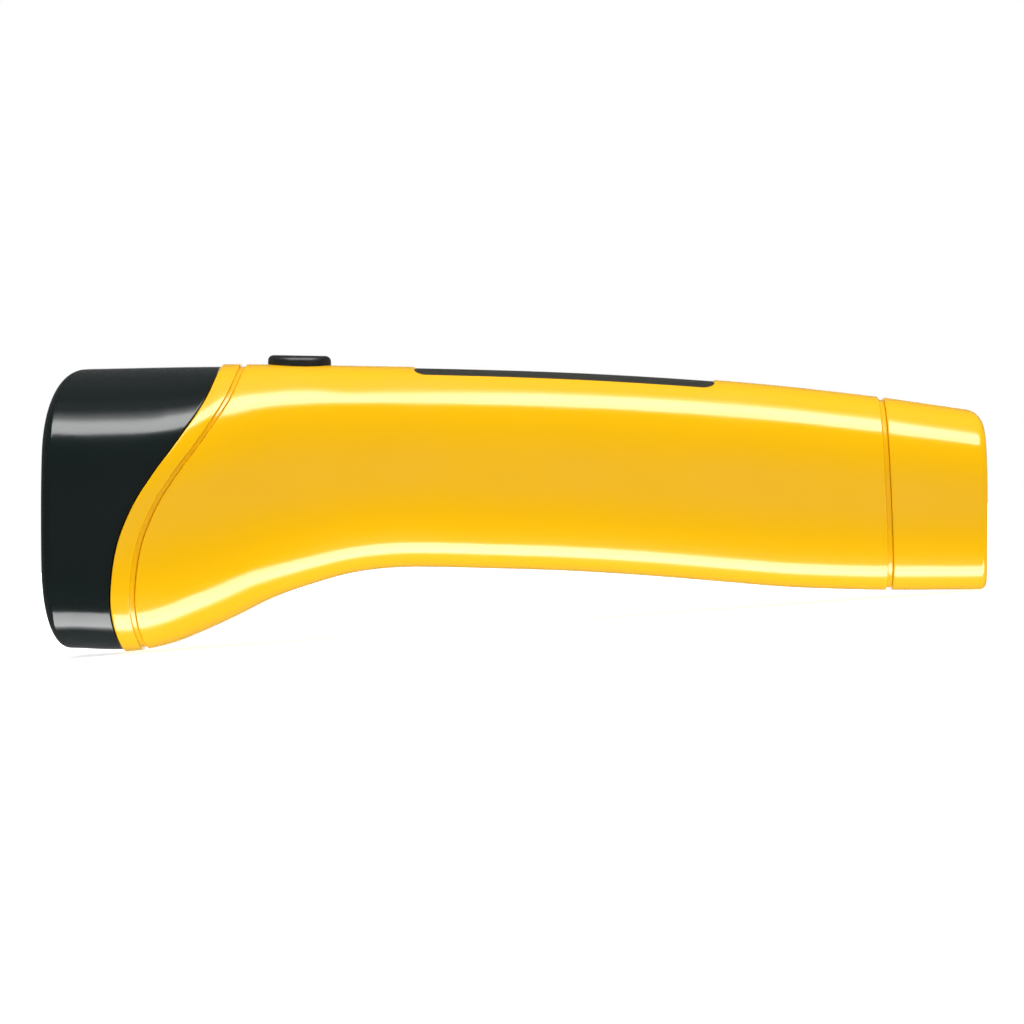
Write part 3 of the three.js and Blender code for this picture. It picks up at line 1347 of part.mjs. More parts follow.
addWire('led_wire_red', 'redWire', ledWireRedShares, ledBoardRear, boardFront);
addWire('led_wire_black', 'rubber', ledWireBlackShares, ledBoardRear, boardFront);
addWire('cell_wire_red', 'redWire', cellWireRedShares, boardRear, cradleFront);
addWire('cell_wire_black', 'rubber', cellWireBlackShares, boardRear, cradleFront);
addWire('generator_wire_red', 'redWire', generatorWireRedShares, boardRear, cradleFront);
addWire('generator_wire_black', 'rubber', generatorWireBlackShares, boardRear, cradleFront);

// The flashlight lies on its belly, on the collar and the tail cap, which tilts it a little.
function restTilt() {
  const tailX = bodyLength - tailBottomRadius;
  const steps = Array.from({ length: tiltSteps }, (_, i) => (seamFar * i) / tiltSteps);
  return Math.max(...steps.map((x) => Math.atan2(bottomLine(tailX) - bottomLine(x), tailX - x)));
}

flashlight.rotation.y = restTilt();
const group = new THREE.Group();
group.add(flashlight);
const box = new THREE.Box3().setFromObject(group, true);
const centre = box.getCenter(new THREE.Vector3());
flashlight.position.set(-centre.x, -centre.y, -box.min.z);

export default group;
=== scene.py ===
# %% [markdown]
# Hand crank flashlight, dressed for the camera.
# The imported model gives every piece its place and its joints. This lesson puts finer pieces around
# that frame and gives each one a finish. It could also be one large model, but then nothing would move,
# so each piece here rides on the body that carries the real one.

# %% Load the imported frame
import math
import bmesh
import bpy
import numpy as np
from mathutils import Matrix, Vector


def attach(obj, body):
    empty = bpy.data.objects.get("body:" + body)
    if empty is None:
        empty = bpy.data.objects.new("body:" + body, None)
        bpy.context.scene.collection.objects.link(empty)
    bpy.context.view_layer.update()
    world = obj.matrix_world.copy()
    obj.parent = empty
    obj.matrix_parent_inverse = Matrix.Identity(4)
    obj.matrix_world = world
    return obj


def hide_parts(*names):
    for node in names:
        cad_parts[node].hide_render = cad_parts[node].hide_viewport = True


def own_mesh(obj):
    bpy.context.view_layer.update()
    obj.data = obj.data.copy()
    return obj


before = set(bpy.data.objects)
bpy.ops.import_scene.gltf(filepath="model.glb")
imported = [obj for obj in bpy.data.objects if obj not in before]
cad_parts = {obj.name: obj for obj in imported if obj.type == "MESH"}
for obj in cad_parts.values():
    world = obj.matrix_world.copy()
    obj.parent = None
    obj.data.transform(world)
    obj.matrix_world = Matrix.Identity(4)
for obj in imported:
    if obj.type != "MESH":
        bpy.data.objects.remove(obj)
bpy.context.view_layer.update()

# %% [markdown]
# The light lies on its belly, so its long axis leans a little. Pieces are easier to think of in the
# light's own straight frame in millimetres, with X from the front rim to the tail and Z up. One
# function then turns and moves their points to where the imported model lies, in metres.

# %% The light's own frame
millimetre = 0.001
rest_tilt_degrees = 4.209289575
origin_along, origin_up = -92.981049, 29.698678
box_middle_up = 28.5
fit_share = 0.9997

rest_tilt = math.radians(rest_tilt_degrees)
along_axis = np.array([math.cos(rest_tilt), 0.0, -math.sin(rest_tilt)])
across_axis = np.array([0.0, 1.0, 0.0])
up_axis = np.array([math.sin(rest_tilt), 0.0, math.cos(rest_tilt)])
frame_origin = np.array([origin_along, 0.0, origin_up])
box_middle = np.array([0.0, 0.0, box_middle_up])


def in_place(points):
    """Points in the light's own frame, in millimetres, as points in the room, in metres."""
    p = np.asarray(points, float)
    turned = p[..., 0:1] * along_axis + p[..., 1:2] * across_axis + p[..., 2:3] * up_axis
    return (box_middle + (turned + frame_origin - box_middle) * fit_share) * millimetre


print("front rim centre", np.round(in_place([0, 0, 0]), 4), "metres")

# %% [markdown]
# The camera stands square to the left side, a little over a metre away, with a long lens. It rolls
# with the light, because the photograph shows the light level. A long lens far away was chosen over a
# short one close by, because the head's near edge grows only a little against its middle.

# %% Camera
camera_distance = 1200
camera_target = (92.5, 0, -0.68)
frame_width = 204.8
sensor_width = 36
# the camera's near and far limits are in metres
clip_near, clip_far = 0.05, 30

camera_data = bpy.data.cameras.new("photo_camera")
camera_data.sensor_fit = "HORIZONTAL"
camera_data.sensor_width = sensor_width
camera_data.lens = sensor_width * camera_distance / frame_width
camera_data.clip_start, camera_data.clip_end = clip_near, clip_far
camera = bpy.data.objects.new("photo_camera", camera_data)
bpy.context.scene.collection.objects.link(camera)
camera_place = in_place(camera_target) - across_axis * camera_distance * millimetre
camera_turn = np.stack([along_axis, up_axis, -across_axis], axis=1)
camera_matrix = Matrix(camera_turn.tolist()).to_4x4()
camera_matrix.translation = Vector(camera_place)
camera.matrix_world = camera_matrix
bpy.context.scene.camera = camera
print("camera lens", round(camera_data.lens, 1), "mm")

# %% [markdown]
# Nodes are easiest to read as short lists. These helpers add a node with its settings, join nodes by a
# list of their sockets, start a group with named inputs and outputs, and make a ramp of greys.

# %% Node helpers
middle_share = 0.5


def add_node(tree, kind, label="", values=None, **settings):
    """Adds a node, sets its properties, and sets its inputs by name or number."""
    made = tree.nodes.new(kind)
    made.label = label
    for key, value in settings.items():
        setattr(made, key, value)
    for key, value in (values or {}).items():
        made.inputs[key].default_value = value
    return made


def join(tree, *links):
    """Joins nodes. Each link is a node, its output, the next node and its input, by name or number."""
    for source, output, target, socket in links:
        tree.links.new(source.outputs[output], target.inputs[socket])


def new_group(title, inputs, outputs):
    """A shader node group with named sockets: inputs are (name, kind, default), outputs (name, kind)."""
    tree = bpy.data.node_groups.new(title, "ShaderNodeTree")
    for name, kind, default in inputs:
        socket = tree.interface.new_socket(name=name, in_out="INPUT", socket_type=kind)
        socket.default_value = default
    for name, kind in outputs:
        tree.interface.new_socket(name=name, in_out="OUTPUT", socket_type=kind)
    return tree, tree.nodes.new("NodeGroupInput"), tree.nodes.new("NodeGroupOutput")


def grey_ramp(tree, label, stops):
    """A colour ramp of greys. stops: (place from 0 to 1, brightness)."""
    made = add_node(tree, "ShaderNodeValToRGB", label)
    elements = made.color_ramp.elements
    while len(elements) < len(stops):
        elements.new(middle_share)
    for element, (place, brightness) in zip(elements, sorted(stops)):
        element.position = place
        element.color = (brightness, brightness, brightness, 1)
    return made


number = "NodeSocketFloat"
print("node helpers ready")

# %% [markdown]
# The photograph is cut out on pure white, so the sky shows white to the camera and through the clear
# lens. The even light is strongest straight above and straight below, as between a ceiling softbox and
# a white table, with a soft glow at eye level, so the plastic is brightest near its top and bottom.
# Gloss sees the white backdrop straight behind the object and a dim room elsewhere, because the black
# head is dark to its edges in the photograph. The world isn't sampled as a lamp, because such samples
# would bring the even light into the gloss.

# %% Sky
sky_peak = 6.0
sky_shares = [(0, 1), (0.1, 0.06), (0.33, 0.06), (0.5, 0.43), (0.67, 0.06), (0.9, 0.06), (1, 1)]
gloss_shares = [
    (0, 0.11), (0.1, 0.05), (0.4, 0.05), (0.55, 0.14), (0.75, 0.18), (0.9875, 0.14), (0.995, 1)]

world = bpy.data.worlds.new("white_room")
bpy.context.scene.world = world
world.use_nodes = True
world.cycles.sampling_method = "NONE"
sky = world.node_tree
sky.nodes.clear()
sky_out = add_node(sky, "ShaderNodeOutputWorld")
path = add_node(sky, "ShaderNodeLightPath")
even = add_node(sky, "ShaderNodeBackground", "even light", {"Strength": sky_peak})
white = add_node(sky, "ShaderNodeBackground", "seen white", {"Color": (1, 1, 1, 1), "Strength": 1})
room = add_node(sky, "ShaderNodeBackground", "room in the gloss", {"Strength": 1})
where = add_node(sky, "ShaderNodeTexCoord")
split = add_node(sky, "ShaderNodeSeparateXYZ")
whole_range = {"From Min": -1, "From Max": 1}
height_share = add_node(sky, "ShaderNodeMapRange", "straight below to straight above", whole_range)
depth_share = add_node(sky, "ShaderNodeMapRange", "front to straight behind", whole_range)
even_ramp = grey_ramp(sky, "even light by height", sky_shares)
room_ramp = grey_ramp(sky, "room by depth", gloss_shares)
seen = add_node(sky, "ShaderNodeMath", "camera or through the lens", operation="MAXIMUM")
gloss_mix = add_node(sky, "ShaderNodeMixShader")
seen_mix = add_node(sky, "ShaderNodeMixShader")
join(sky, (where, "Generated", split, 0), (split, "Z", height_share, "Value"),
     (split, "Y", depth_share, "Value"), (height_share, "Result", even_ramp, "Fac"),
     (depth_share, "Result", room_ramp, "Fac"), (even_ramp, "Color", even, "Color"),
     (room_ramp, "Color", room, "Color"), (path, "Is Camera Ray", seen, 0),
     (path, "Is Transmission Ray", seen, 1), (path, "Is Glossy Ray", gloss_mix, "Fac"),
     (even, 0, gloss_mix, 1), (room, 0, gloss_mix, 2), (seen, 0, seen_mix, "Fac"),
     (gloss_mix, 0, seen_mix, 1), (white, 0, seen_mix, 2), (seen_mix, 0, sky_out, "Surface"))
print("sky peak", sky_peak, "with", len(sky.nodes), "nodes")

# %% [markdown]
# The floor is a sheet of white paper under the light. It takes the object's shadow and adds a little
# light of its own, for the camera alone, so that it looks as white as the sky behind it. Brighter lamps
# would whiten it too, but they would wash out the light's colours. No other ray sees the floor, so it
# throws nothing back onto the object.

# %% Floor
# half the floor's width and its drop below the light are in metres
floor_half = 4.0
floor_drop = 0.0002
floor_own_light = 0.7
paper_colour = (0.9, 0.9, 0.9, 1)

floor_mesh = bpy.data.meshes.new("floor")
floor_corners = [(x * floor_half, y * floor_half, -floor_drop)
                 for x, y in ((-1, -1), (1, -1), (1, 1), (-1, 1))]
floor_mesh.from_pydata(floor_corners, [], [(0, 1, 2, 3)])
floor = bpy.data.objects.new("floor", floor_mesh)
bpy.context.scene.collection.objects.link(floor)
paper = bpy.data.materials.new("white_paper")
paper.use_nodes = True
tree = paper.node_tree
tree.nodes.clear()
paper_out = add_node(tree, "ShaderNodeOutputMaterial")
paper_path = add_node(tree, "ShaderNodeLightPath")
paper_face = add_node(tree, "ShaderNodeBsdfDiffuse", values={"Color": paper_colour})
paper_glow = add_node(tree, "ShaderNodeEmission", "for the camera alone", {"Strength": floor_own_light})
paper_none = add_node(tree, "ShaderNodeEmission", "none", {"Strength": 0})
paper_pick = add_node(tree, "ShaderNodeMixShader")
paper_sum = add_node(tree, "ShaderNodeAddShader")
join(tree, (paper_path, "Is Camera Ray", paper_pick, "Fac"), (paper_none, 0, paper_pick, 1),
     (paper_glow, 0, paper_pick, 2), (paper_face, 0, paper_sum, 0), (paper_pick, 0, paper_sum, 1),
     (paper_sum, 0, paper_out, "Surface"))
floor_mesh.materials.append(paper)
for ray in ("visible_diffuse", "visible_glossy", "visible_transmission", "visible_shadow"):
    setattr(floor, ray, False)
print("floor", 2 * floor_half, "metres wide")

# %% [markdown]
# Glossy plastic shows the shapes of its lamps. The photograph has one long bright band along the top
# and one along the bottom, so two long softboxes stand above and below. They are cards that only gloss
# sees, because their own light would wash out the colours. Each is bright up to its front edge and
# fades toward its back edge, which gives the bands one crisp side and one soft side. The top card fades
# earlier over the head, where the photographed band is narrower.

# %% Softboxes
# the cards' distance and their ends along the light are in metres, their angles in degrees
card_distance = 0.8
card_middle = (92.5, 0, 3)
card_fade_shares = [(0, 1), (0.35, 0.3), (0.7, 0.12), (1, 0.02)]
top_card_angles = (122.5, 90.0)
top_card_ends = (-0.28, 0.36)
top_card_light = 13
top_card_full_share = 0.63
top_card_narrowing = {"From Min": 0.42, "From Max": 0.6, "To Min": 0.31, "To Max": 0.05}
bottom_card_angles = (-104.5, -72.0)
bottom_card_ends = (-0.3, 0.8)
bottom_card_light = 11
bottom_card_full_share = 0.72
bottom_card_narrowing = {"To Min": 0, "To Max": 0}


def softbox(name, angles, ends, strength, full_share, narrowing):
    """A long glowing card round the light's axis. Its angles run from straight behind over the top.
    narrowing says how much of its width fades earlier, from one place along it to another."""
    front, back = np.radians(angles)
    turn, half_range = (front + back) / 2, abs(front - back) / 2
    out = Vector((0, math.cos(turn), math.sin(turn)))
    side = Vector((0, -math.sin(turn), math.cos(turn)))
    reach = card_distance * math.tan(half_range)
    centre = Vector(in_place(card_middle)) + out * card_distance
    corners = [centre + Vector((ends[end], 0, 0)) + side * reach * sign
               for end, sign in ((0, -1), (1, -1), (1, 1), (0, 1))]
    mesh = bpy.data.meshes.new(name)
    mesh.from_pydata([tuple(c) for c in corners], [], [(0, 1, 2, 3)])
    card = bpy.data.objects.new(name, mesh)
    bpy.context.scene.collection.objects.link(card)
    glow = bpy.data.materials.new(name)
    glow.use_nodes = True
    glow.cycles.emission_sampling = "NONE"
    tree = glow.node_tree
    tree.nodes.clear()
    card_where = add_node(tree, "ShaderNodeTexCoord")
    card_split = add_node(tree, "ShaderNodeSeparateXYZ")
    fade = [(0, 1)] + [(full_share + s * (1 - full_share), level) for s, level in card_fade_shares]
    card_ramp = grey_ramp(tree, "front edge to back edge", fade)
    narrower = add_node(tree, "ShaderNodeMapRange", "narrower near the head", narrowing,
                        interpolation_type="SMOOTHSTEP")
    card_share = add_node(tree, "ShaderNodeMath", "share of the width", operation="ADD")
    lamp = add_node(tree, "ShaderNodeEmission", values={"Strength": strength})
    lamp_out = add_node(tree, "ShaderNodeOutputMaterial")
    join(tree, (card_where, "Generated", card_split, 0), (card_split, "X", narrower, "Value"),
         (card_split, "Y", card_share, 0), (narrower, "Result", card_share, 1),
         (card_share, 0, card_ramp, "Fac"), (card_ramp, "Color", lamp, "Color"),
         (lamp, 0, lamp_out, "Surface"))
    mesh.materials.append(glow)
    for ray in ("visible_camera", "visible_diffuse", "visible_transmission", "visible_shadow"):
        setattr(card, ray, False)
    print(name, round(2 * reach, 2), "metres wide")


softbox("top_softbox", top_card_angles, top_card_ends, top_card_light, top_card_full_share,
        top_card_narrowing)
softbox("bottom_softbox", bottom_card_angles, bottom_card_ends, bottom_card_light,
        bottom_card_full_share, bottom_card_narrowing)
bpy.context.scene.view_settings.view_transform = "Standard"

# %% [markdown]
# Moulded plastic is never quite even: its face has a faint ripple from the mould, and its tone changes
# slowly. An effect that several finishes share is a group with named sockets, so that each finish places
# the same effect with its own values.

# %% Grain group: a ripple of the face, and slow and quick changes of tone
grain_group, grain_in, grain_out = new_group("moulded_grain", [
    ("Ripple Scale", number, 300.0), ("Tone Scale", number, 60.0), ("Streak Stretch", number, 1.0),
], [("Height", number), ("Tone", number)])
grain_where = add_node(grain_group, "ShaderNodeTexCoord")
grain_stretch = add_node(grain_group, "ShaderNodeCombineXYZ", "stretch", {"Y": 1, "Z": 1})
grain_map = add_node(grain_group, "ShaderNodeVectorMath", operation="MULTIPLY")
ripple = add_node(grain_group, "ShaderNodeTexNoise", "ripple", {"Detail": 3, "Roughness": 0.5})
tone = add_node(grain_group, "ShaderNodeTexNoise", "tone", {"Detail": 4, "Roughness": 0.6})
join(grain_group, (grain_in, "Streak Stretch", grain_stretch, "X"), (grain_where, "Object", grain_map, 0),
     (grain_stretch, 0, grain_map, 1), (grain_map, 0, ripple, "Vector"), (grain_map, 0, tone, "Vector"),
     (grain_in, "Ripple Scale", ripple, "Scale"), (grain_in, "Tone Scale", tone, "Scale"),
     (ripple, "Fac", grain_out, "Height"), (tone, "Fac", grain_out, "Tone"))
print("group", grain_group.name, "with", len(grain_group.nodes), "nodes")

# %% [markdown]
# Hands polish some patches and dull others, and leave a few fine scuffs. This group turns slow patches
# and thin stretched lines into a roughness between the two values that a finish gives. A painted map
# could do the same, but noise needs no map and suits a piece of any shape.

# %% Handling group: duller where it was handled, with a few fine scuffs
handling_group, handling_in, handling_out = new_group("handling", [
    ("Polished", number, 0.2), ("Handled", number, 0.3), ("Patch Scale", number, 40.0),
    ("Scuff Scale", number, 500.0), ("Scuffs", number, 0.1),
], [("Roughness", number)])
handling_where = add_node(handling_group, "ShaderNodeTexCoord")
patches = add_node(handling_group, "ShaderNodeTexNoise", "patches", {"Detail": 5, "Roughness": 0.65})
patch_range = add_node(handling_group, "ShaderNodeMapRange", values={"From Min": 0.35, "From Max": 0.7})
scuff_lines = add_node(handling_group, "ShaderNodeTexNoise", "scuffs", {"Detail": 2, "Distortion": 6})
scuff_range = add_node(handling_group, "ShaderNodeMapRange", values={"From Min": 0.68, "From Max": 0.78})
scuff_share = add_node(handling_group, "ShaderNodeMath", operation="MULTIPLY")
handling_sum = add_node(handling_group, "ShaderNodeMath", operation="ADD")
join(handling_group, (handling_where, "Object", patches, "Vector"),
     (handling_where, "Object", scuff_lines, "Vector"), (handling_in, "Patch Scale", patches, "Scale"),
     (handling_in, "Scuff Scale", scuff_lines, "Scale"), (patches, "Fac", patch_range, "Value"),
     (handling_in, "Polished", patch_range, "To Min"), (handling_in, "Handled", patch_range, "To Max"),
     (scuff_lines, "Fac", scuff_range, "Value"), (scuff_range, "Result", scuff_share, 0),
     (handling_in, "Scuffs", scuff_share, 1), (patch_range, "Result", handling_sum, 0),
     (scuff_share, 0, handling_sum, 1), (handling_sum, 0, handling_out, "Roughness"))
print("group", handling_group.name, "with", len(handling_group.nodes), "nodes")

# %% [markdown]
# Outer edges are rubbed a little lighter. The mask finds them by how pointed the mesh is, and noise
# breaks it up, because wear is never an even line. It could be painted by hand, but this way it
# follows every edge of every piece.

# %% Edge group: a mask of the outer edges, broken up by noise
edge_group, edge_in, edge_out = new_group("edge_wear", [
    ("Start", number, 0.52), ("Full", number, 0.6), ("Break Up", number, 400.0), ("Amount", number, 0.5),
], [("Mask", number)])
edge_shape = add_node(edge_group, "ShaderNodeNewGeometry")
edge_where = add_node(edge_group, "ShaderNodeTexCoord")
edge_noise = add_node(edge_group, "ShaderNodeTexNoise", values={"Detail": 4})
edge_range = add_node(edge_group, "ShaderNodeMapRange")
edge_break = add_node(edge_group, "ShaderNodeMath", operation="MULTIPLY")
edge_share = add_node(edge_group, "ShaderNodeMath", operation="MULTIPLY")
join(edge_group, (edge_shape, "Pointiness", edge_range, "Value"), (edge_in, "Start", edge_range, "From Min"),
     (edge_in, "Full", edge_range, "From Max"), (edge_where, "Object", edge_noise, "Vector"),
     (edge_in, "Break Up", edge_noise, "Scale"), (edge_range, "Result", edge_break, 0),
     (edge_noise, "Fac", edge_break, 1), (edge_break, 0, edge_share, 0), (edge_in, "Amount", edge_share, 1),
     (edge_share, 0, edge_out, "Mask"))
print("group", edge_group.name, "with", len(edge_group.nodes), "nodes")


# %% [markdown]
# Every finish starts from the same wiring and differs in its numbers: two close tones mixed by the
# grain, a third tone on the edges, a roughness from the handling group and a bump from the grain.
# Colours are given as they look on a screen, and turned into the linear values that the shader needs.

# %% Finish builder
finishes = {}
screen_white = 255
screen_knee, screen_slope, screen_offset, screen_power = 0.04045, 12.92, 0.055, 2.4
usual_wear = (0.52, 0.6, 400, 0.4)


def screen(*colour_values):
    """A screen colour from 0 to 255 as a linear colour."""
    shares = [value / screen_white for value in colour_values]
    return [share / screen_slope if share <= screen_knee
            else ((share + screen_offset) / (1 + screen_offset)) ** screen_power for share in shares] + [1]


def group_node(tree, group, values):
    """Places a group with its own values on its sockets."""
    made = tree.nodes.new("ShaderNodeGroup")
    made.node_tree = group
    made.label = group.name
    for key, value in values.items():
        made.inputs[key].default_value = value
    return made


def make_finish(name, tones, edge, gloss, grain, wear=usual_wear, stretch=1.0, sockets=None):
    """tones: two colours; gloss: polished, handled, scuffs; grain: ripple scale, tone scale, depth in mm;
    wear: where edges start and end in pointiness, noise scale, amount; sockets: further shader values."""
    made = bpy.data.materials.new(name)
    made.use_nodes = True
    tree = made.node_tree
    face = tree.nodes["Principled BSDF"]
    *grain_scales, depth = grain
    grains = group_node(tree, grain_group, dict(zip(
        ("Ripple Scale", "Tone Scale", "Streak Stretch"), (*grain_scales, stretch))))
    handling = group_node(tree, handling_group, dict(zip(("Polished", "Handled", "Scuffs"), gloss)))
    edges = group_node(tree, edge_group, dict(zip(("Start", "Full", "Break Up", "Amount"), wear)))
    tone_mix = add_node(tree, "ShaderNodeMix", "tones", data_type="RGBA")
    edge_mix = add_node(tree, "ShaderNodeMix", "edge tone", data_type="RGBA")
    bump = add_node(tree, "ShaderNodeBump", values={"Strength": 1, "Distance": depth * millimetre})
    tone_mix.inputs["A"].default_value = screen(*tones[0])
    tone_mix.inputs["B"].default_value = screen(*tones[1])
    edge_mix.inputs["B"].default_value = screen(*edge)
    join(tree, (grains, "Tone", tone_mix, "Factor"), (tone_mix, "Result", edge_mix, "A"),
         (edges, "Mask", edge_mix, "Factor"), (edge_mix, "Result", face, "Base Color"),
         (handling, "Roughness", face, "Roughness"), (grains, "Height", bump, "Height"),
         (bump, "Normal", face, "Normal"))
    for key, value in (sockets or {}).items():
        face.inputs[key].default_value = value
    finishes[name] = made


print("finish builder ready")

# %% [markdown]
# The shells are glossy yellow plastic and the head is glossy black. The button is softer, the crank is
# matte and the plate is a warm charcoal. Each row gives two tones, the edge tone, the gloss and the
# grain, and then what only that finish has. A table was chosen over a block of code for each finish,
# so that the plastics can be compared at a glance.

# %% Plastics
plastic_rows = {
    "yellow_plastic": (((244, 185, 4), (239, 181, 3)), (248, 196, 30),
                       (0.13, 0.19, 0.06), (170, 35, 0.012), {}),
    "black_gloss": (((20, 27, 27), (23, 30, 30)), (44, 50, 50), (0.1, 0.15, 0.06), (170, 45, 0.012),
                    {"wear": (0.52, 0.62, 400, 0.25), "sockets": {"Specular IOR Level": 0.36}}),
    "black_button": (((27, 31, 30), (31, 35, 34)), (50, 56, 55), (0.34, 0.42, 0.05), (900, 80, 0.012), {}),
    "black_matte": (((24, 26, 26), (30, 32, 32)), (52, 54, 54), (0.4, 0.52, 0.05), (1400, 90, 0.02), {}),
    "charcoal_plate": (((42, 43, 36), (48, 49, 40)), (66, 66, 56),
                       (0.36, 0.44, 0.04), (1600, 70, 0.015), {}),
}
for name, (*row, extra) in plastic_rows.items():
    make_finish(name, *row, **extra)
print("plastics", list(finishes))

# %% [markdown]
# The mirror bowl, the axles, the windings and the contacts are metal, and steel and brass show fine
# streaks. The lens and the lamps are clear, so they keep plain metallic and transmission values. They
# are rows of the same kind as the plastics, because only a few sockets differ.

# %% Metals, rubber, boards and clear pieces
metal = {"Metallic": 1.0}
other_rows = {
    "reflector_mirror": (((232, 234, 236), (224, 227, 230)), (240, 240, 240),
                         (0.04, 0.08, 0.02), (240, 60, 0.006), {"sockets": metal}),
    "steel": (((168, 172, 175), (150, 154, 158)), (200, 203, 205),
              (0.24, 0.36, 0.15), (1500, 200, 0.004), {"stretch": 6.0, "sockets": metal}),
    "brass": (((190, 156, 84), (176, 140, 70)), (214, 184, 120),
              (0.25, 0.38, 0.1), (1500, 200, 0.004), {"stretch": 5.0, "sockets": metal}),
    "copper_wire": (((184, 100, 56), (150, 72, 34)), (206, 128, 80),
                    (0.28, 0.4, 0.05), (2600, 300, 0.05), {"sockets": metal}),
    "magnet": (((96, 98, 102), (84, 86, 90)), (130, 132, 136),
               (0.3, 0.42, 0.1), (1200, 150, 0.005), {"sockets": metal}),
    "black_rubber": (((26, 26, 26), (33, 33, 33)), (52, 52, 52), (0.6, 0.78, 0.05), (2200, 160, 0.03), {}),
    "red_wire": (((176, 42, 32), (160, 34, 26)), (196, 70, 58), (0.42, 0.56, 0.05), (1400, 160, 0.015), {}),
    "circuit_board": (((30, 88, 52), (24, 74, 44)), (150, 140, 70),
                      (0.32, 0.46, 0.05), (900, 500, 0.02), {}),
    "gear_plastic": (((228, 226, 216), (219, 216, 204)), (240, 239, 232), (0.38, 0.5, 0.04),
                     (1200, 120, 0.015), {"sockets": {"Subsurface Weight": 0.08}}),
    "cell_wrap": (((60, 122, 74), (48, 108, 64)), (120, 160, 128), (0.26, 0.36, 0.05), (600, 90, 0.01), {}),
    "clear_lens": (((250, 252, 252), (246, 250, 250)), (252, 253, 253), (0.03, 0.07, 0.03),
                   (200, 60, 0.003), {"sockets": {"IOR": 1.49, "Transmission Weight": 1.0}}),
    "led_body": (((252, 252, 246), (246, 247, 240)), (252, 252, 250), (0.06, 0.12, 0.02),
                 (300, 90, 0.004), {"sockets": {"IOR": 1.52, "Transmission Weight": 1.0}}),
}
for name, (*row, extra) in other_rows.items():
    make_finish(name, *row, **extra)
print("finishes", len(finishes))


# %% [markdown]
# The outer form is three smooth lines along the light: the top line, the bottom line and the side
# line. Every cross-section between them is a rounded square. Keeping the form as functions, and not
# as a finished mesh, lets each piece take exactly its share of the same skin, however fine its mesh.

# %% Outer lines
body_length = 186.3
head_top_height = 28.9
head_bottom_depth = 28.6
head_half_width = 25.5
top_squareness = 2.4
head_squareness = 2
round_top_end_share, square_top_start_share = 0.12, 0.26
bottom_squareness = 2.6
top_line_shares = [
    (0.035, 0.983), (0.183, 1), (0.317, 0.99), (0.478, 0.969), (0.59, 0.941), (0.703, 0.896),
    (0.784, 0.851), (0.848, 0.806), (0.896, 0.768), (0.945, 0.723), (1, 0.671)]
bottom_line_shares = [
    (0.027, 0.993), (0.086, 1), (0.1315, 0.944), (0.17, 0.846), (0.209, 0.727), (0.232, 0.65),
    (0.258, 0.58), (0.307, 0.479), (0.333, 0.441), (0.366, 0.416), (0.398, 0.409), (0.478, 0.42),
    (0.558, 0.437), (0.639, 0.4685), (0.719, 0.5105), (0.784, 0.5455), (0.832, 0.56), (0.9, 0.57),
    (1, 0.5665)]
side_line_shares = [
    (0.02, 0.985), (0.06, 1), (0.1, 1), (0.1315, 0.975), (0.19, 0.862), (0.232, 0.765), (0.28, 0.695),
    (0.322, 0.667), (0.483, 0.651), (0.7, 0.641), (0.9, 0.64), (1, 0.622)]


def smooth(t):
    """Rises from 0 to 1 and is level at both ends."""
    return t * t * (3 - 2 * t)


def curve_of(shares, length, height):
    """A smooth curve through a table of shares, level beyond its ends."""
    xs = np.array([s[0] for s in shares]) * length
    ys = np.array([s[1] for s in shares]) * height
    last = len(xs) - 1
    after = np.minimum(np.arange(len(xs)) + 1, last)
    before = np.maximum(np.arange(len(xs)) - 1, 0)
    slopes = (ys[after] - ys[before]) / (xs[after] - xs[before])

    def at(x):
        i = np.clip(np.searchsorted(xs, x, side="right") - 1, 0, last - 1)
        span = xs[i + 1] - xs[i]
        t = np.clip((x - xs[i]) / span, 0, 1)
        rise = smooth(t) * (ys[i + 1] - ys[i])
        leave = t * (1 - t) ** 2 * span * slopes[i]
        arrive = t * t * (t - 1) * span * slopes[i + 1]
        return ys[i] + rise + leave + arrive
    return at


top_line = curve_of(top_line_shares, body_length, head_top_height)
bottom_line = curve_of(bottom_line_shares, body_length, -head_bottom_depth)
side_curve = curve_of(side_line_shares, body_length, head_half_width)


def side_line(x):
    return np.minimum(side_curve(x), head_half_width)


def middle_line(x):
    return (top_line(x) + bottom_line(x)) / 2


def top_power(x):
    """The top is round over the head and squarer over the handle."""
    run = square_top_start_share - round_top_end_share
    t = np.clip((x / body_length - round_top_end_share) / run, 0, 1)
    return head_squareness + (top_squareness - head_squareness) * smooth(t)


def skin_point(x, angle, inset):
    """A point of the skin, or of a skin that lies inset below it."""
    c, s = np.cos(angle), np.sin(angle)
    power = 2 / np.where(s > 0, top_power(x), bottom_squareness)
    half_height = (top_line(x) - bottom_line(x)) / 2 - inset
    y = np.sign(c) * np.abs(c) ** power * (side_line(x) - inset)
    z = middle_line(x) + np.sign(s) * np.abs(s) ** power * half_height
    return np.stack(np.broadcast_arrays(x, y, z), -1)


def skin_height(x, y, inset=0.0):
    """How high the skin is over a place."""
    half_height = (top_line(x) - bottom_line(x)) / 2 - inset
    share = np.minimum(np.abs(y) / (side_line(x) - inset), 1)
    return middle_line(x) + half_height * (1 - share ** top_power(x)) ** (1 / top_power(x))


print("top line at mid length", round(float(top_line(body_length / 2)), 2), "mm")

# %% [markdown]
# The seam between the head and the collar is an S when seen from the side: high up it runs back, and
# below it reaches forward. The tail cap's seam leans a little. A seam depends on the height and the
# skin's height depends on the place along it, so a ring on a seam is found in a few passes.

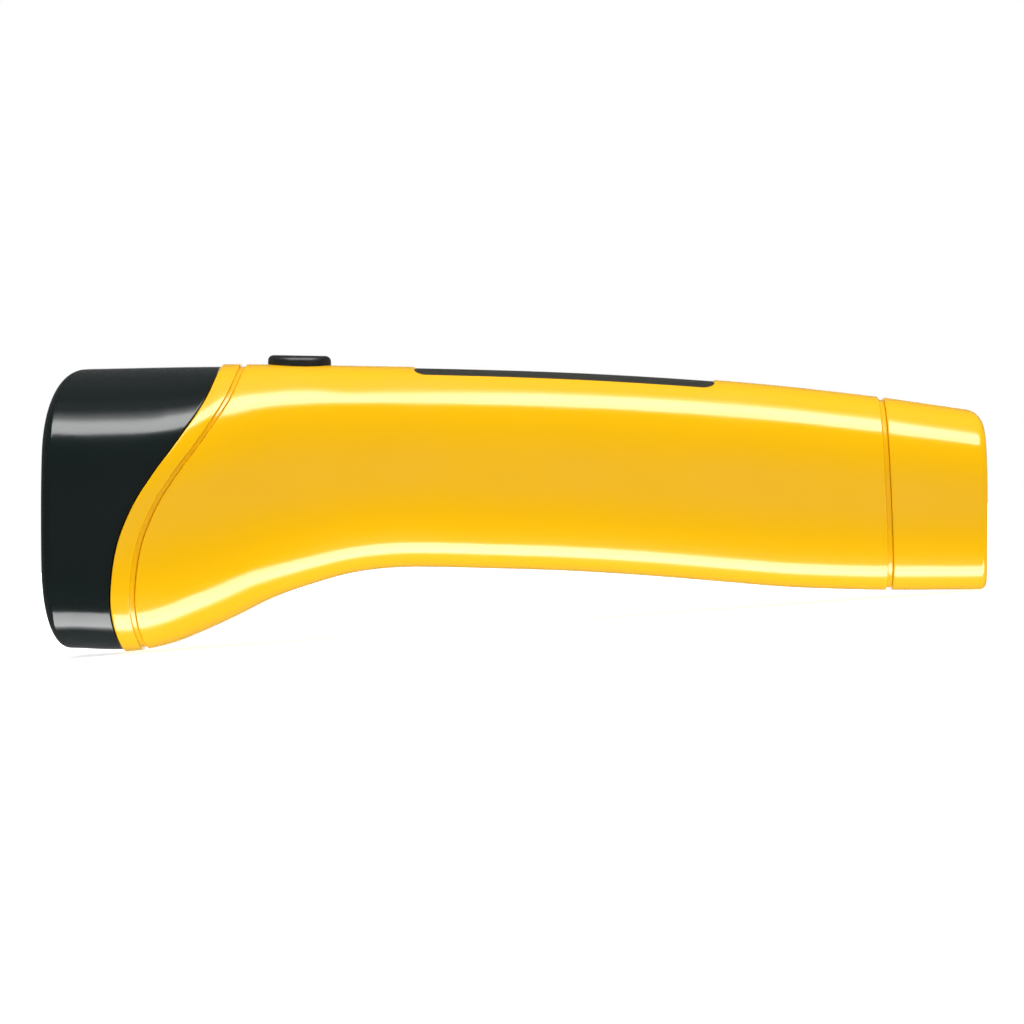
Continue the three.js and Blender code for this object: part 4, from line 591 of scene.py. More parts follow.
# %% Seams
seam_near = 13.4
seam_shares = [(-1, 0.085), (-0.785, 0.01), (-0.564, 0), (-0.239, 0.071), (0.031, 0.223),
               (0.249, 0.412), (0.467, 0.626), (0.74, 0.863), (1, 1)]
seam_far = 34.5
seam_passes = 14
cap_length = 19.3
tail_seam_lean = 1.25
corner_reach_share = 0.45

seam_run = curve_of(seam_shares, head_top_height, seam_far - seam_near)
tail_seam = body_length - cap_length


def head_seam(z):
    return seam_near + seam_run(z)


def cap_seam(z):
    return tail_seam - tail_seam_lean * z / head_top_height


def on_seam(seam, offset, inset, angle):
    """A ring of points along a seam, moved along the light by offset and into the skin by inset."""
    x = seam(np.zeros_like(angle)) + offset
    for _ in range(seam_passes):
        x = seam(skin_point(x, angle, inset)[..., 2]) + offset
    return skin_point(x, angle, inset)


def on_ring(x, radius, angle):
    """A round ring at a place along the light."""
    return np.stack([np.full_like(angle, x), radius * np.cos(angle), radius * np.sin(angle)], -1)


def rounded(path, radius, steps=4):
    """The same path with its inner corners rounded."""
    path = [np.array(p, float) for p in path]
    result = [path[0]]
    for before, corner, after in zip(path, path[1:], path[2:]):
        lengths = [np.linalg.norm(before - corner), np.linalg.norm(after - corner)]
        reach = min(radius, corner_reach_share * min(lengths))
        start = corner + (before - corner) / lengths[0] * reach
        end = corner + (after - corner) / lengths[1] * reach
        for t in np.linspace(0, 1, steps + 1):
            result.append((1 - t) ** 2 * start + 2 * t * (1 - t) * corner + t * t * end)
    result.append(path[-1])
    return result


print("head seam at the middle", round(float(head_seam(0.0)), 2), "mm behind the rim")

# %% [markdown]
# Most pieces are a stack of rings joined by four-sided faces, which is how a turned or moulded part
# closes on itself. Where a ring shrinks to a point, its corners are merged. Edges with a sharp angle
# stay sharp and everything else is shaded smooth.

# %% Mesh helpers
merge_distance = 2e-6
sharp_degrees = 38


def stack_mesh(rows, ring=True, loop=False, end_faces=False):
    """Faces between rows of points. ring closes each row, loop joins the last row to the first."""
    rows = np.array(rows, float)
    row_count, column_count = rows.shape[:2]
    made = bmesh.new()
    verts = [[made.verts.new(p) for p in row] for row in in_place(rows)]
    for i in range(row_count if loop else row_count - 1):
        lower, upper = verts[i], verts[(i + 1) % row_count]
        for j in range(column_count if ring else column_count - 1):
            k = (j + 1) % column_count
            made.faces.new((lower[j], lower[k], upper[k], upper[j]))
    if end_faces:
        ends = (verts[0], verts[-1]) if ring else ([row[0] for row in verts], [row[-1] for row in verts])
        for end in ends:
            made.faces.new(end)
    bmesh.ops.remove_doubles(made, verts=made.verts, dist=merge_distance)
    bmesh.ops.recalc_face_normals(made, faces=made.faces)
    return made


def joined(*parts):
    """Several closed bodies in one mesh."""
    result = bmesh.new()
    for part in parts:
        mesh = bpy.data.meshes.new("part")
        part.to_mesh(mesh)
        result.from_mesh(mesh)
        bpy.data.meshes.remove(mesh)
        part.free()
    return result


def turned(profile, axis, centre=(0, 0), steps=96):
    """A body turned round an axis. profile: (place along the axis, radius), from pole or as a loop."""
    angle = np.linspace(0, 2 * np.pi, steps, endpoint=False)
    rows = []
    for along, radius in profile:
        row = [centre[0] + radius * np.cos(angle), centre[1] + radius * np.sin(angle)]
        row.insert("xyz".index(axis), np.full_like(angle, along))
        rows.append(np.stack(row, -1))
    return stack_mesh(rows, loop=profile[0][1] > 0)


def turned_loop(profile, radius, axis, centre=(0, 0), steps=96):
    """A turned ring whose profile is a closed loop with rounded corners."""
    corners = list(profile) + [profile[0], profile[1]]
    return turned(rounded(corners, radius)[1:-2], axis, centre, steps)


def cylinder(axis, radius, start, end, place, steps=48):
    """A plain cylinder along an axis."""
    return turned([(start, 0), (start, radius), (end, radius), (end, 0)], axis, place, steps)


def tube(axis, inner, outer, start, end, edge, centre=(0, 0), steps=96):
    """A plain ring along an axis, with rounded edges."""
    profile = [(start, inner), (start, outer), (end, outer), (end, inner)]
    return turned_loop(profile, edge, axis, centre, steps)


def dome(tip, depth, radius, angles):
    """The profile of a dome, from its tip outward."""
    return [(tip + depth * (1 - np.cos(t)), radius * np.sin(t)) for t in angles]


def object_from(name, mesh_source):
    """A linked object with the given mesh."""
    mesh = bpy.data.meshes.new(name)
    mesh_source.to_mesh(mesh)
    mesh_source.free()
    made = bpy.data.objects.new(name, mesh)
    bpy.context.scene.collection.objects.link(made)
    return made


def cut_away(target, cutters, operation="DIFFERENCE"):
    """Takes the cutters out of an object for good, or keeps only what lies inside them."""
    for cutter in cutters:
        cutting = target.modifiers.new("cut", "BOOLEAN")
        cutting.operation = operation
        cutting.solver = "EXACT"
        cutting.object = cutter
    seen = target.evaluated_get(bpy.context.evaluated_depsgraph_get())
    fresh = bpy.data.meshes.new_from_object(seen)
    target.modifiers.clear()
    target.data = fresh
    for cutter in cutters:
        bpy.data.objects.remove(cutter)


def place_piece(piece, finish, body, *nodes):
    """Smooth shading, a finish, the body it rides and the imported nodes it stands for."""
    mesh = piece.data
    mesh.polygons.foreach_set("use_smooth", [True] * len(mesh.polygons))
    mesh.set_sharp_from_angle(angle=math.radians(sharp_degrees))
    mesh.materials.clear()
    mesh.materials.append(finishes[finish])
    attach(piece, body)
    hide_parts(*nodes)
    print(piece.name, len(mesh.polygons), "faces")
    return piece


print("edges sharper than", sharp_degrees, "degrees stay sharp")

# %% [markdown]
# The head is one moulding in glossy black. Its front edge is rounded more at the top than at the
# sides. Inside it has a shoulder for the lens, and behind the seam a thinner neck slips into the
# handle. It is made as one closed loop of rings, from the lens opening round the outside and back.

# %% Head housing sizes
ring_steps = 288
face_rings, edge_rings, side_rings = 25, 17, 49
wall = 2.0
head_inset, head_edge = 0.5, 0.3
edge_radius, edge_thin_share = 2.2, 0.9
rim_top_reach, rim_top_depth = 18.0, 8.0
rim_bottom_reach, rim_bottom_depth = 17.0, 5.0
rim_roundness = 2.3
bezel_depth, lens_bore_depth, shoulder_depth = 3.4, 9.4, 2.4
lens_opening, lens_bore = 20.8, 22.4
lip_length, lip_radius = 1.0, 0.35
neck_length, neck_inset, neck_inner = 8.0, 2.3, 4.0
full_turn = np.linspace(0, 2 * np.pi, ring_steps, endpoint=False)


def quarter(steps):
    """Even angles from 0 to a quarter turn."""
    return np.linspace(0, np.pi / 2, steps)


def rim_rise(z):
    """0 where the front rim is straight, 1 at its top and bottom ends."""
    edge = np.where(z > 0, top_line(0), -bottom_line(0)) - head_inset
    reach = np.where(z > 0, rim_top_reach, rim_bottom_reach)
    return np.clip((np.abs(z) - edge + reach) / reach, 0, 1)


def on_rim(row, behind):
    """A ring moved to the front rim, which bends back towards its top and bottom."""
    depth = np.where(row[:, 2] > 0, rim_top_depth, rim_bottom_depth)
    bend = depth * (1 - (1 - rim_rise(row[:, 2]) ** rim_roundness) ** (1 / rim_roundness))
    moved = row.copy()
    moved[:, 0] = bend + behind
    return moved


print("neck", neck_length, "mm long")

# %% [markdown]
# The rings run from the lens opening over the front face, round the soft edge and along the side to
# the seam. From there they step inward to the neck, and a last ring makes the shoulder.

# %% Head housing
flat_front = np.zeros(ring_steps)
front_heights = skin_point(flat_front, full_turn, head_inset)[:, 2]
edge_thick = edge_radius * (1 - edge_thin_share * rim_rise(front_heights) ** 2)
head_rows = [on_ring(lens_bore_depth, lens_bore, full_turn), on_ring(bezel_depth, lens_bore, full_turn),
             on_ring(bezel_depth, lens_opening, full_turn)]
for offset, inset in rounded([(lip_length, 0), (0, 0), (0, lip_length)], lip_radius):
    head_rows.append(on_rim(on_ring(0, lens_opening + inset, full_turn), offset))
face_start = on_ring(0, lens_opening + lip_length, full_turn)
edge_start = skin_point(flat_front, full_turn, head_inset + edge_thick)
for share in np.sin(quarter(face_rings))[1:-1]:
    head_rows.append(on_rim(face_start + share * (edge_start - face_start), 0))
for t in quarter(edge_rings):
    edge_row = skin_point(flat_front, full_turn, head_inset + edge_thick * (1 - np.sin(t)))
    head_rows.append(on_rim(edge_row, edge_thick * (1 - np.cos(t))))
edge_end = head_rows[-1][:, 0]
seam_edge = on_seam(head_seam, -head_edge, head_inset, full_turn)[:, 0]
for share in np.linspace(0, 1, side_rings)[1:-1]:
    head_rows.append(skin_point(edge_end + share * (seam_edge - edge_end), full_turn, head_inset))
neck_path = [(-head_edge, head_inset), (0, head_inset), (0, neck_inset), (neck_length / 2, neck_inset),
             (neck_length, neck_inset), (neck_length, neck_inner)]
for offset, inset in rounded(neck_path, head_edge):
    head_rows.append(on_seam(head_seam, offset, inset, full_turn))
shoulder = np.full(ring_steps, lens_bore_depth + shoulder_depth)
head_rows.append(skin_point(shoulder, full_turn, neck_inner))
place_piece(object_from("head", stack_mesh(head_rows, loop=True)), "black_gloss", "handle", "head_housing")

# %% [markdown]
# The collar is a thin yellow ring between the head and the handle, with a rounded lip on both sides.
# It follows the same S-curved seam. A step behind it is the floor of the groove. It could be a strip
# of the handle's skin, but a ring of its own has the same soft lips all the way round.

# %% Front collar
skin_edge = 0.35
groove_depth = 0.5
collar_front, collar_end, collar_rear = 0.3, 4.0, 5.07
collar_path = [(collar_front, wall), (collar_front, 0), (collar_end, 0), (collar_end, groove_depth),
               (collar_rear, groove_depth), (collar_rear, wall)]
collar_rows = [on_seam(head_seam, offset, inset, full_turn)
               for offset, inset in rounded(collar_path, skin_edge)]
collar = object_from("collar", stack_mesh(collar_rows, loop=True))
place_piece(collar, "yellow_plastic", "handle", "front_collar")

# %% [markdown]
# The handle is two shells, screwed together along the middle plane with a thin parting line between
# them. Each is one moulding: the outer skin, the grooved steps at both ends, the thinner spigot that
# the tail cap slips over, and the inner skin. Thickening a single skin would be quicker, but the steps
# at both ends need a profile of their own. The openings for the button, the plate and the crank are
# cut afterwards, because they cross the parting line and must line up in both halves.

# %% Shell halves
half_steps, skin_rows, inner_rows = 132, 170, 60
parting_half_gap, parting_edge, parting_drop = 0.15, 0.35, 0.18
near_parting_angles = [0, 0.002, 0.005, 0.01, 0.02]
shell_front, front_run, rear_run = 5.1, 0.8, 1.5
groove_near, groove_far = 0.55, 0.52
seal_front, seal_rear, seal_inset = 3.0, 4.6, 2.9
spigot_end, spigot_inset, spigot_inner, spigot_root, inner_end = 8.0, 2.3, 4.0, 2.5, 5.0
front_path = [(shell_front, wall), (shell_front, 0), (shell_front + front_run, 0)]
rear_path = [(-rear_run, 0), (-groove_near, 0), (-groove_near, groove_depth), (groove_far, groove_depth),
             (groove_far, spigot_inset), (seal_front, spigot_inset), (seal_front, seal_inset),
             (seal_rear, seal_inset), (seal_rear, spigot_inset), (spigot_end, spigot_inset),
             (spigot_end, spigot_inner), (-spigot_root, spigot_inner)]


def half_turn(side):
    """Angles of one half, crowded at the parting plane."""
    even = np.linspace(near_parting_angles[-1], np.pi - near_parting_angles[-1], half_steps)
    ends = np.array(near_parting_angles[:-1])
    return np.concatenate([ends, even, np.pi - ends[::-1]]) - side * np.pi / 2


def part_halves(points, side, outer):
    """Moves a half off the middle plane by its share of the gap and rounds its outer edge."""
    x, y, z = points[..., 0], np.abs(points[..., 1]), points[..., 2]
    if outer:
        drop = parting_drop * np.clip(1 - y / parting_edge, 0, 1) ** 2
        z = z - np.sign(z - middle_line(x)) * drop
    moved = side * (parting_half_gap + y * (1 - parting_half_gap / side_line(x)))
    return np.stack([x, moved, z], -1)


def shell_rows(side):
    """Half rings of one shell, from its front edge over the skin to the spigot and back inside."""
    angle = half_turn(side)
    rows = [part_halves(on_seam(head_seam, offset, inset, angle), side, inset < groove_depth)
            for offset, inset in rounded(front_path, skin_edge)]
    front = on_seam(head_seam, front_path[-1][0], 0, angle)[:, 0]
    rear = on_seam(cap_seam, rear_path[0][0], 0, angle)[:, 0]
    for share in np.linspace(0, 1, skin_rows)[1:-1]:
        rows.append(part_halves(skin_point(front + share * (rear - front), angle, 0), side, True))
    for offset, inset in rounded(rear_path, skin_edge):
        rows.append(part_halves(on_seam(cap_seam, offset, inset, angle), side, inset < groove_depth))
    inner_rear = on_seam(cap_seam, -inner_end, wall, angle)[:, 0]
    inner_front = on_seam(head_seam, shell_front, wall, angle)[:, 0]
    for share in np.linspace(0, 1, inner_rows)[:-1]:
        inner = skin_point(inner_rear + share * (inner_front - inner_rear), angle, wall)
        rows.append(part_halves(inner, side, False))
    return rows


print("half a ring has", len(half_turn(1)), "points")

# %% [markdown]
# The plate, the button and the cuts for them share one outline, a rectangle with round corners, and
# one way to fill it: rings from the middle of the underside round the edge to the middle of the top.
# A bevelled box would do for a flat top, but these tops follow the curve of the handle.

# %% Outlines and pads
arc_steps = 10
least_corner = 0.01
straight_steps = (64, 16)
inner_shares = [0.96, 0.9, 0.82, 0.72, 0.6, 0.46, 0.3, 0.14, 0]


def rounded_outline(centre, half_length, half_width, corner):
    """A rounded rectangle seen from above, as points in order. Every call gives the same count.
    corner: one radius, or a pair for corners that are longer than wide."""
    corner_x, corner_y = np.broadcast_to(corner, 2)
    far_x, far_y = half_length - corner_x, half_width - corner_y
    along = np.linspace(-1, 1, straight_steps[0]) * far_x
    across = np.linspace(-1, 1, straight_steps[1]) * far_y
    arc = quarter(arc_steps + 2)[1:-1]
    falling, rising = np.cos(arc), np.sin(arc)
    half_outline = [
        (np.full_like(across, half_length), across),
        (far_x + corner_x * falling, far_y + corner_y * rising),
        (-along, np.full_like(along, half_width)),
        (-far_x - corner_x * rising, far_y + corner_y * falling)]
    x, y = (np.concatenate(parts) for parts in zip(*half_outline))
    return np.concatenate([x, -x]) + centre, np.concatenate([y, -y])


def pad_rows(centre, size, top, bottom, edge=0.0, edge_steps=5):
    """A block with a rounded rectangle outline between two height functions, top edge rounded."""
    half_length, half_width, corner = size
    x, y = rounded_outline(centre, half_length, half_width, corner)
    rows = []
    for share in reversed(inner_shares):
        inner_x, inner_y = centre + share * (x - centre), share * y
        rows.append(np.stack([inner_x, inner_y, bottom(inner_x, inner_y)], -1))
    rows.append(np.stack([x, y, bottom(x, y)], -1))
    for t in quarter(edge_steps):
        shrink = edge * (1 - np.cos(t))
        edge_x, edge_y = rounded_outline(
            centre, half_length - shrink, half_width - shrink, np.maximum(corner - shrink, least_corner))
        rows.append(np.stack([edge_x, edge_y, top(edge_x, edge_y) - edge * (1 - np.sin(t))], -1))
    for share in inner_shares:
        inner_x, inner_y = centre + share * (edge_x - centre), share * edge_y
        rows.append(np.stack([inner_x, inner_y, top(inner_x, inner_y)], -1))
    return rows


print("rings inside a pad's edge", len(inner_shares))

# %% [markdown]
# The tail cap is a short cup with a nearly flat end. Its end bulges a little at the sides and reaches
# furthest at the bottom, where the corner is tight, while the top corner is soft. The light rests on the
# heel, so the heel is flat where it would go through the table. Like the head it is a stack of rings
# and not a cut solid, so its corners stay smooth.

# %% Tail cap
tail_top, tail_side, tail_top_sharpness = 3.0, 1.2, 6
tail_bulge, tail_heel, tail_heel_sharpness = 0.2, 0.8, 3
rest_back = 2.0
cap_rings = 24
end_shares, floor_shares = (0, 0.4, 0.8), (1, 0.5, 0)
cap_path = [(rear_run, 0), (groove_near, 0), (groove_near, wall)]
tail_rise = np.sin(full_turn)
tail_radius = tail_side + (tail_top - tail_side) * np.clip(tail_rise, 0, 1) ** tail_top_sharpness
tail_end = (body_length + tail_bulge * (1 - tail_rise ** 2)
            + tail_heel * np.clip(-tail_rise, 0, 1) ** tail_heel_sharpness)


def on_table(row):
    """A ring kept above the table that the tail rests on."""
    rest_x = body_length - rest_back
    table = bottom_line(body_length) + (row[:, 0] - rest_x) * math.tan(rest_tilt)
    kept = row.copy()
    kept[:, 2] = np.where(row[:, 0] > rest_x, np.maximum(row[:, 2], table), row[:, 2])
    return kept


def toward_centre(row, x, share):
    """A ring shrunk toward the middle line, for the end faces."""
    centre = np.array([x, 0, middle_line(body_length)])
    return centre + share * (row - centre)


end_ring = on_table(skin_point(tail_end, full_turn, tail_radius))
cap_rows = [toward_centre(end_ring, body_length + tail_bulge, share) for share in end_shares]
for t in quarter(edge_rings):
    place = tail_end - tail_radius * (1 - np.cos(t))
    cap_rows.append(on_table(skin_point(place, full_turn, tail_radius * (1 - np.sin(t)))))
cap_near = tail_end - tail_radius
cap_far = on_seam(cap_seam, cap_path[0][0], 0, full_turn)[:, 0]
for share in np.linspace(0, 1, cap_rings)[1:-1]:
    cap_rows.append(on_table(skin_point(cap_near + share * (cap_far - cap_near), full_turn, 0)))
for offset, inset in rounded(cap_path, skin_edge):
    cap_rows.append(on_seam(cap_seam, offset, inset, full_turn))
cap_floor = body_length - wall
inner_ring = skin_point(np.full(ring_steps, cap_floor), full_turn, wall)
cap_rows += [toward_centre(inner_ring, cap_floor, share) for share in floor_shares]
place_piece(object_from("cap", stack_mesh(cap_rows)), "yellow_plastic", "cap", "tail_cap")

# %% [markdown]
# Inside each shell are the bosses that the screws go through and the posts that hold the gear plate.
# They are cut to the inside of the skin, as a mould would make them. The screw heads sit in deep holes
# on the crank side. The crank's own bearing stands a little proud of the skin. Their places are
# listed once, because the bosses, the holes and the screws all use them.

# %% Places inside the handle
crank_place = (117.0, 6.776)
screw_places = [(46.0, -6.0), (88.0, -7.2), (129.6, -8.0), (129.6, 20.3)]
screw_boss, screw_hole, screw_counterbore = 3.0, 1.3, 2.2
screw_seat, screw_depth = 9.6, 8.3
post_radius, post_start = 2.2, -2.2
post_places = [(107.04, 21.43), (105.95, -7.07), (56.54, 17.48), (56.54, -1.14)]
boss_skin_inset, core_rings = 0.8, 60
crank_boss_radius, crank_boss_inner, crank_boss_outer = 8.5, 12.0, 17.6
crank_bore, crank_hole_start, crank_boss_edge = 4.5, 5.0, 0.5
crank_steps, crank_hole_steps = 128, 96
far_out, overrun, seat_overrun = 40.0, 1.0, 0.1
label_middle, label_size = 102.9, (29.8, 8.5, 2.4)
label_recess, label_thickness, label_gap, label_edge = 0.3, 0.7, 0.1, 0.12
fit_gap = 0.3
button_middle, button_size = 50.0, (6.3, 4.75, np.array([5.2, 4.4]))
button_proud, button_edge, button_edge_steps = 1.85, 1.1, 9
opening_floor = 14.0


def level(height):
    """A flat height function."""
    return lambda x, y: np.full_like(x, height)


def under_skin(inset):
    """The skin's height less an inset, as a height function."""
    return lambda x, y: skin_height(x, y, inset)


def grown(size, margin):
    """A pad's size with a margin all round."""
    return tuple(s + margin for s in size)


def skin_core():
    """Everything inside the skin, for cutting bosses to it."""
    places = np.linspace(seam_far, tail_seam - spigot_end, core_rings)
    rows = [skin_point(np.full(ring_steps, x), full_turn, boss_skin_inset) for x in places]
    return object_from("core", stack_mesh(rows, end_faces=True))


print("screws at", screw_places)

# %% [markdown]
# Cutting openings into a smooth skin leaves long thin faces, whose shading would show as dents. The
# true direction of the skin is known from its form, so each face that still lies on it gets that
# direction at its corners.

# %% True normals of the skin
skin_tolerance = 0.003
slope_step = 0.05
least_facing = 0.9
tiny = 1e-12


def in_frame(points):
    """Points of the room, in metres, back in the light's own frame in millimetres."""
    p = box_middle + (np.asarray(points, float) / millimetre - box_middle) / fit_share - frame_origin
    return np.stack([p @ along_axis, p @ across_axis, p @ up_axis], -1)


def skin_measures(p, x):
    """Shares of the width and height that points reach at x, with the power and half height there."""
    half_height = (top_line(x) - bottom_line(x)) / 2
    share = np.clip((np.abs(p[:, 1]) - parting_half_gap) / (side_line(x) - parting_half_gap), 0, None)
    rise = (p[:, 2] - middle_line(x)) / half_height
    power = np.where(p[:, 2] > middle_line(p[:, 0]), top_power(x), bottom_squareness)
    return share, rise, power, half_height


def set_skin_normals(mesh):
    """Gives the outer skin the true normals of its form, so that cut openings leave no dents."""
    flat = np.empty(len(mesh.vertices) * 3)
    mesh.vertices.foreach_get("co", flat)
    p = in_frame(flat.reshape(-1, 3))
    share, rise, power, half_height = skin_measures(p, p[:, 0])
    value = (share ** power + np.abs(rise) ** power) ** (1 / power)
    sums = []
    for step in (slope_step, -slope_step):
        near_share, near_rise, near_power, _ = skin_measures(p, p[:, 0] + step)
        sums.append(near_share ** near_power + np.abs(near_rise) ** near_power)
    normals = np.stack([
        (sums[0] - sums[1]) / (2 * slope_step),
        np.sign(p[:, 1]) * power * share ** (power - 1) / (side_line(p[:, 0]) - parting_half_gap),
        np.sign(rise) * power * np.abs(rise) ** (power - 1) / half_height], -1)
    normals /= np.linalg.norm(normals, axis=1, keepdims=True) + tiny
    world = normals[:, 0:1] * along_axis + normals[:, 1:2] * across_axis + normals[:, 2:3] * up_axis
    good = (np.abs(value - 1) < skin_tolerance) & (p[:, 0] > seam_near) & (p[:, 0] < tail_seam)
    custom = np.zeros((len(mesh.loops), 3))
    for polygon in mesh.polygons:
        corners = list(polygon.vertices)
        if good[corners].all() and world[corners].mean(axis=0) @ np.array(polygon.normal) > least_facing:
            custom[polygon.loop_start:polygon.loop_start + len(corners)] = world[corners]
    mesh.normals_split_custom_set(custom.tolist())
    print("true normals at", int(good.sum()), "of", len(good), "points")


# %% [markdown]
# Each shell is its skin, its bosses and, on the right, the crank's bearing, all in one mesh. Skin and
# bosses are cut apart from each other, because a cut needs a body that doesn't cross itself.

# %% Left and right shell
def shell_bosses(side):
    """Screw bosses, and on the crank side the posts of the gear plate, cut to the inside of the skin."""
    ends = sorted((side * parting_half_gap, side * head_half_width))
    bodies = [cylinder("y", screw_boss, *ends, place) for place in screw_places]
    if side > 0:
        bodies += [cylinder("y", post_radius, post_start, head_half_width, place) for place in post_places]
    bosses = object_from("bosses", joined(*bodies))
    cut_away(bosses, [skin_core()], "INTERSECT")
    return bosses


def counterbores():
    """The deep holes of the screw heads, from their seats out through the skin."""
    return [cylinder("y", screw_counterbore, screw_seat, far_out, place) for place in screw_places]


def skin_cutters(side):
    """What the skin is cut by: the plate's pocket, the button's opening and the crank side's holes."""
    pocket = pad_rows(label_middle, grown(label_size, label_gap), level(far_out),
                      under_skin(label_recess + label_thickness + fit_gap))
    opening = pad_rows(button_middle, grown(button_size, fit_gap), level(far_out), level(opening_floor))
    cutters = [object_from("pocket", stack_mesh(pocket)), object_from("opening", stack_mesh(opening))]
    if side > 0:
        crank_hole = cylinder(
            "y", crank_boss_radius - fit_gap, crank_hole_start, far_out, crank_place, crank_hole_steps)
        cutters.append(object_from("heads", joined(*counterbores(), crank_hole)))
    return cutters


def boss_cutters(side):
    """The screw holes through the bosses on the crank side, or down into them on the other side."""
    start, end = (-overrun, screw_seat + seat_overrun) if side > 0 else (-screw_depth, overrun)
    holes = [cylinder("y", screw_hole, start, end, place) for place in screw_places]
    if side > 0:
        holes += counterbores()
    return [object_from("hole", hole) for hole in holes]


def shell(side, name, node):
    """One half of the handle: its skin, its bosses and on the right the crank's bearing."""
    skin = object_from(name, stack_mesh(shell_rows(side), ring=False, loop=True, end_faces=True))
    bosses = shell_bosses(side)
    cut_away(skin, skin_cutters(side))
    cut_away(bosses, boss_cutters(side))
    whole = bmesh.new()
    whole.from_mesh(skin.data)
    whole.from_mesh(bosses.data)
    bpy.data.objects.remove(bosses)
    if side > 0:
        ring = [(crank_boss_inner, crank_bore), (crank_boss_outer, crank_bore),
                (crank_boss_outer, crank_boss_radius), (crank_boss_inner, crank_boss_radius)]
        bearing = bpy.data.meshes.new("bearing")
        turned_loop(ring, crank_boss_edge, "y", crank_place, crank_steps).to_mesh(bearing)
        whole.from_mesh(bearing)
    whole.to_mesh(skin.data)
    whole.free()
    place_piece(skin, "yellow_plastic", "handle", node)
    set_skin_normals(skin.data)


shell(-1, "shell_left", "left_shell")
shell(1, "shell_right", "right_shell")

# %% [markdown]
# The inset plate is a thin satin strip that follows the top of the handle, glued in a shallow pocket.
# It is left bare. The push button is a small soft-edged cap, raised over the skin, with a flange under
# the shell that keeps it from coming out. Both could be plain blocks, but they follow the curve of the
# top, so each is a pad between two heights.

# %% Label plate and power button
cap_sink, stem_sink = 0.2, 0.5
flange_top, flange_thickness, flange_rim, flange_edge = 25.67, 1.0, 1.2, 0.25
stem_foot, stem_radius, stem_steps = 21.6, 1.8, 48

plate_rows = pad_rows(label_middle, label_size, under_skin(label_recess),
                      under_skin(label_recess + label_thickness), edge=label_edge)
place_piece(object_from("plate", stack_mesh(plate_rows)), "charcoal_plate", "handle", "label_plate")

button_cap = stack_mesh(pad_rows(button_middle, button_size, under_skin(-button_proud),
                                 level(flange_top - cap_sink), button_edge, button_edge_steps))
flange = stack_mesh(pad_rows(button_middle, grown(button_size, flange_rim), level(flange_top),
                             level(flange_top - flange_thickness), flange_edge))
stem = cylinder("z", stem_radius, stem_foot, flange_top - stem_sink, (button_middle, 0), stem_steps)
button = object_from("button", joined(button_cap, flange, stem))
place_piece(button, "black_button", "button", "power_button")

# %% [markdown]
# A wound spring under the flange pushes the button back up. Its first and last turns lie flat, as on a real
# one. It rides the button and has a mesh of its own. A rigid spring would dive into the switch.

# %% Button spring
board_drop, board_thickness, switch_height = 15.766, 1.6, 4.0
spring_radius, spring_wire = 2.8, 0.25
spring_turns, spring_turn_steps, spring_sides = 5, 28, 12
spring_rest_share = 0.1
switch_top = float(top_line(button_middle)) - board_drop + board_thickness + fit_gap + switch_height
spring_foot = switch_top + fit_gap + spring_wire
spring_head = flange_top - flange_thickness - fit_gap - spring_wire


def wound_spring(foot, head, radius, wire, turns):
    """A round wire wound upward, with flat end turns and closed wire ends."""
    t = np.linspace(0, 1, turns * spring_turn_steps + 1)
    climb = np.clip((t - spring_rest_share) / (1 - 2 * spring_rest_share), 0, 1)
    height = foot + (head - foot) * climb
    angle = 2 * np.pi * turns * t
    line = np.stack([button_middle + radius * np.cos(angle), radius * np.sin(angle), height], -1)
    outward = np.stack([np.cos(angle), np.sin(angle), np.zeros_like(angle)], -1)
    ring = np.linspace(0, 2 * np.pi, spring_sides, endpoint=False)
    up = np.array([0.0, 0.0, 1.0])
    rows = [place + wire * (np.cos(ring)[:, None] * out + np.sin(ring)[:, None] * up)
            for place, out in zip(line, outward)]
    first, last = (np.tile(end, (spring_sides, 1)) for end in (line[0], line[-1]))
    return stack_mesh([first] + rows + [last])


winding = wound_spring(spring_foot, spring_head, spring_radius, spring_wire, spring_turns)
spring = place_piece(object_from("spring", winding), "steel", "button", "button_spring")
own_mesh(spring)

# %% [markdown]
# Behind the rim sit the clear lens, a rubber ring and the mirrored bowl. The lens bulges a little and
# the bowl is a paraboloid, so its depth grows with the square of its radius. Three clear lamps look
# through the hole at its back. All are turned from profiles, as on a lathe. A flat disc could pass for
# a lens, but it would catch no curved highlight.

# %% Lens, gasket and reflector
lens_front, lens_rear, lens_bulge = 3.7, 5.7, 0.7
lens_clear_radius, lens_seat_radius, lens_edge = 20.5, 22.1, 0.25
gasket_front, gasket_rear, gasket_inner, gasket_edge = 6.0, 7.2, 20.1, 0.45
bowl_front, bowl_rear, bowl_wall = 7.5, 26.5, 1.0
bowl_mouth, bowl_throat, bowl_back_rim = 20.6, 6.6, 9.0
bowl_rim_share = 0.055
lens_rings, bowl_rings, turn_steps = 25, 65, 192

lens_face = [(lens_front - lens_bulge * (1 - s * s), lens_clear_radius * s)
             for s in np.linspace(0, 1, lens_rings)]
lens_rim = rounded([lens_face[-1], (lens_front, lens_seat_radius), (lens_rear, lens_seat_radius),
                    (lens_rear, lens_clear_radius)], lens_edge)
lens = turned(lens_face + lens_rim[1:] + [(lens_rear, 0)], "x", steps=turn_steps)
place_piece(object_from("lens_clear", lens), "clear_lens", "handle", "lens")

gasket = tube("x", gasket_inner, lens_seat_radius, gasket_front, gasket_rear, gasket_edge, steps=turn_steps)
place_piece(object_from("gasket", gasket), "black_rubber", "handle", "lens_gasket")


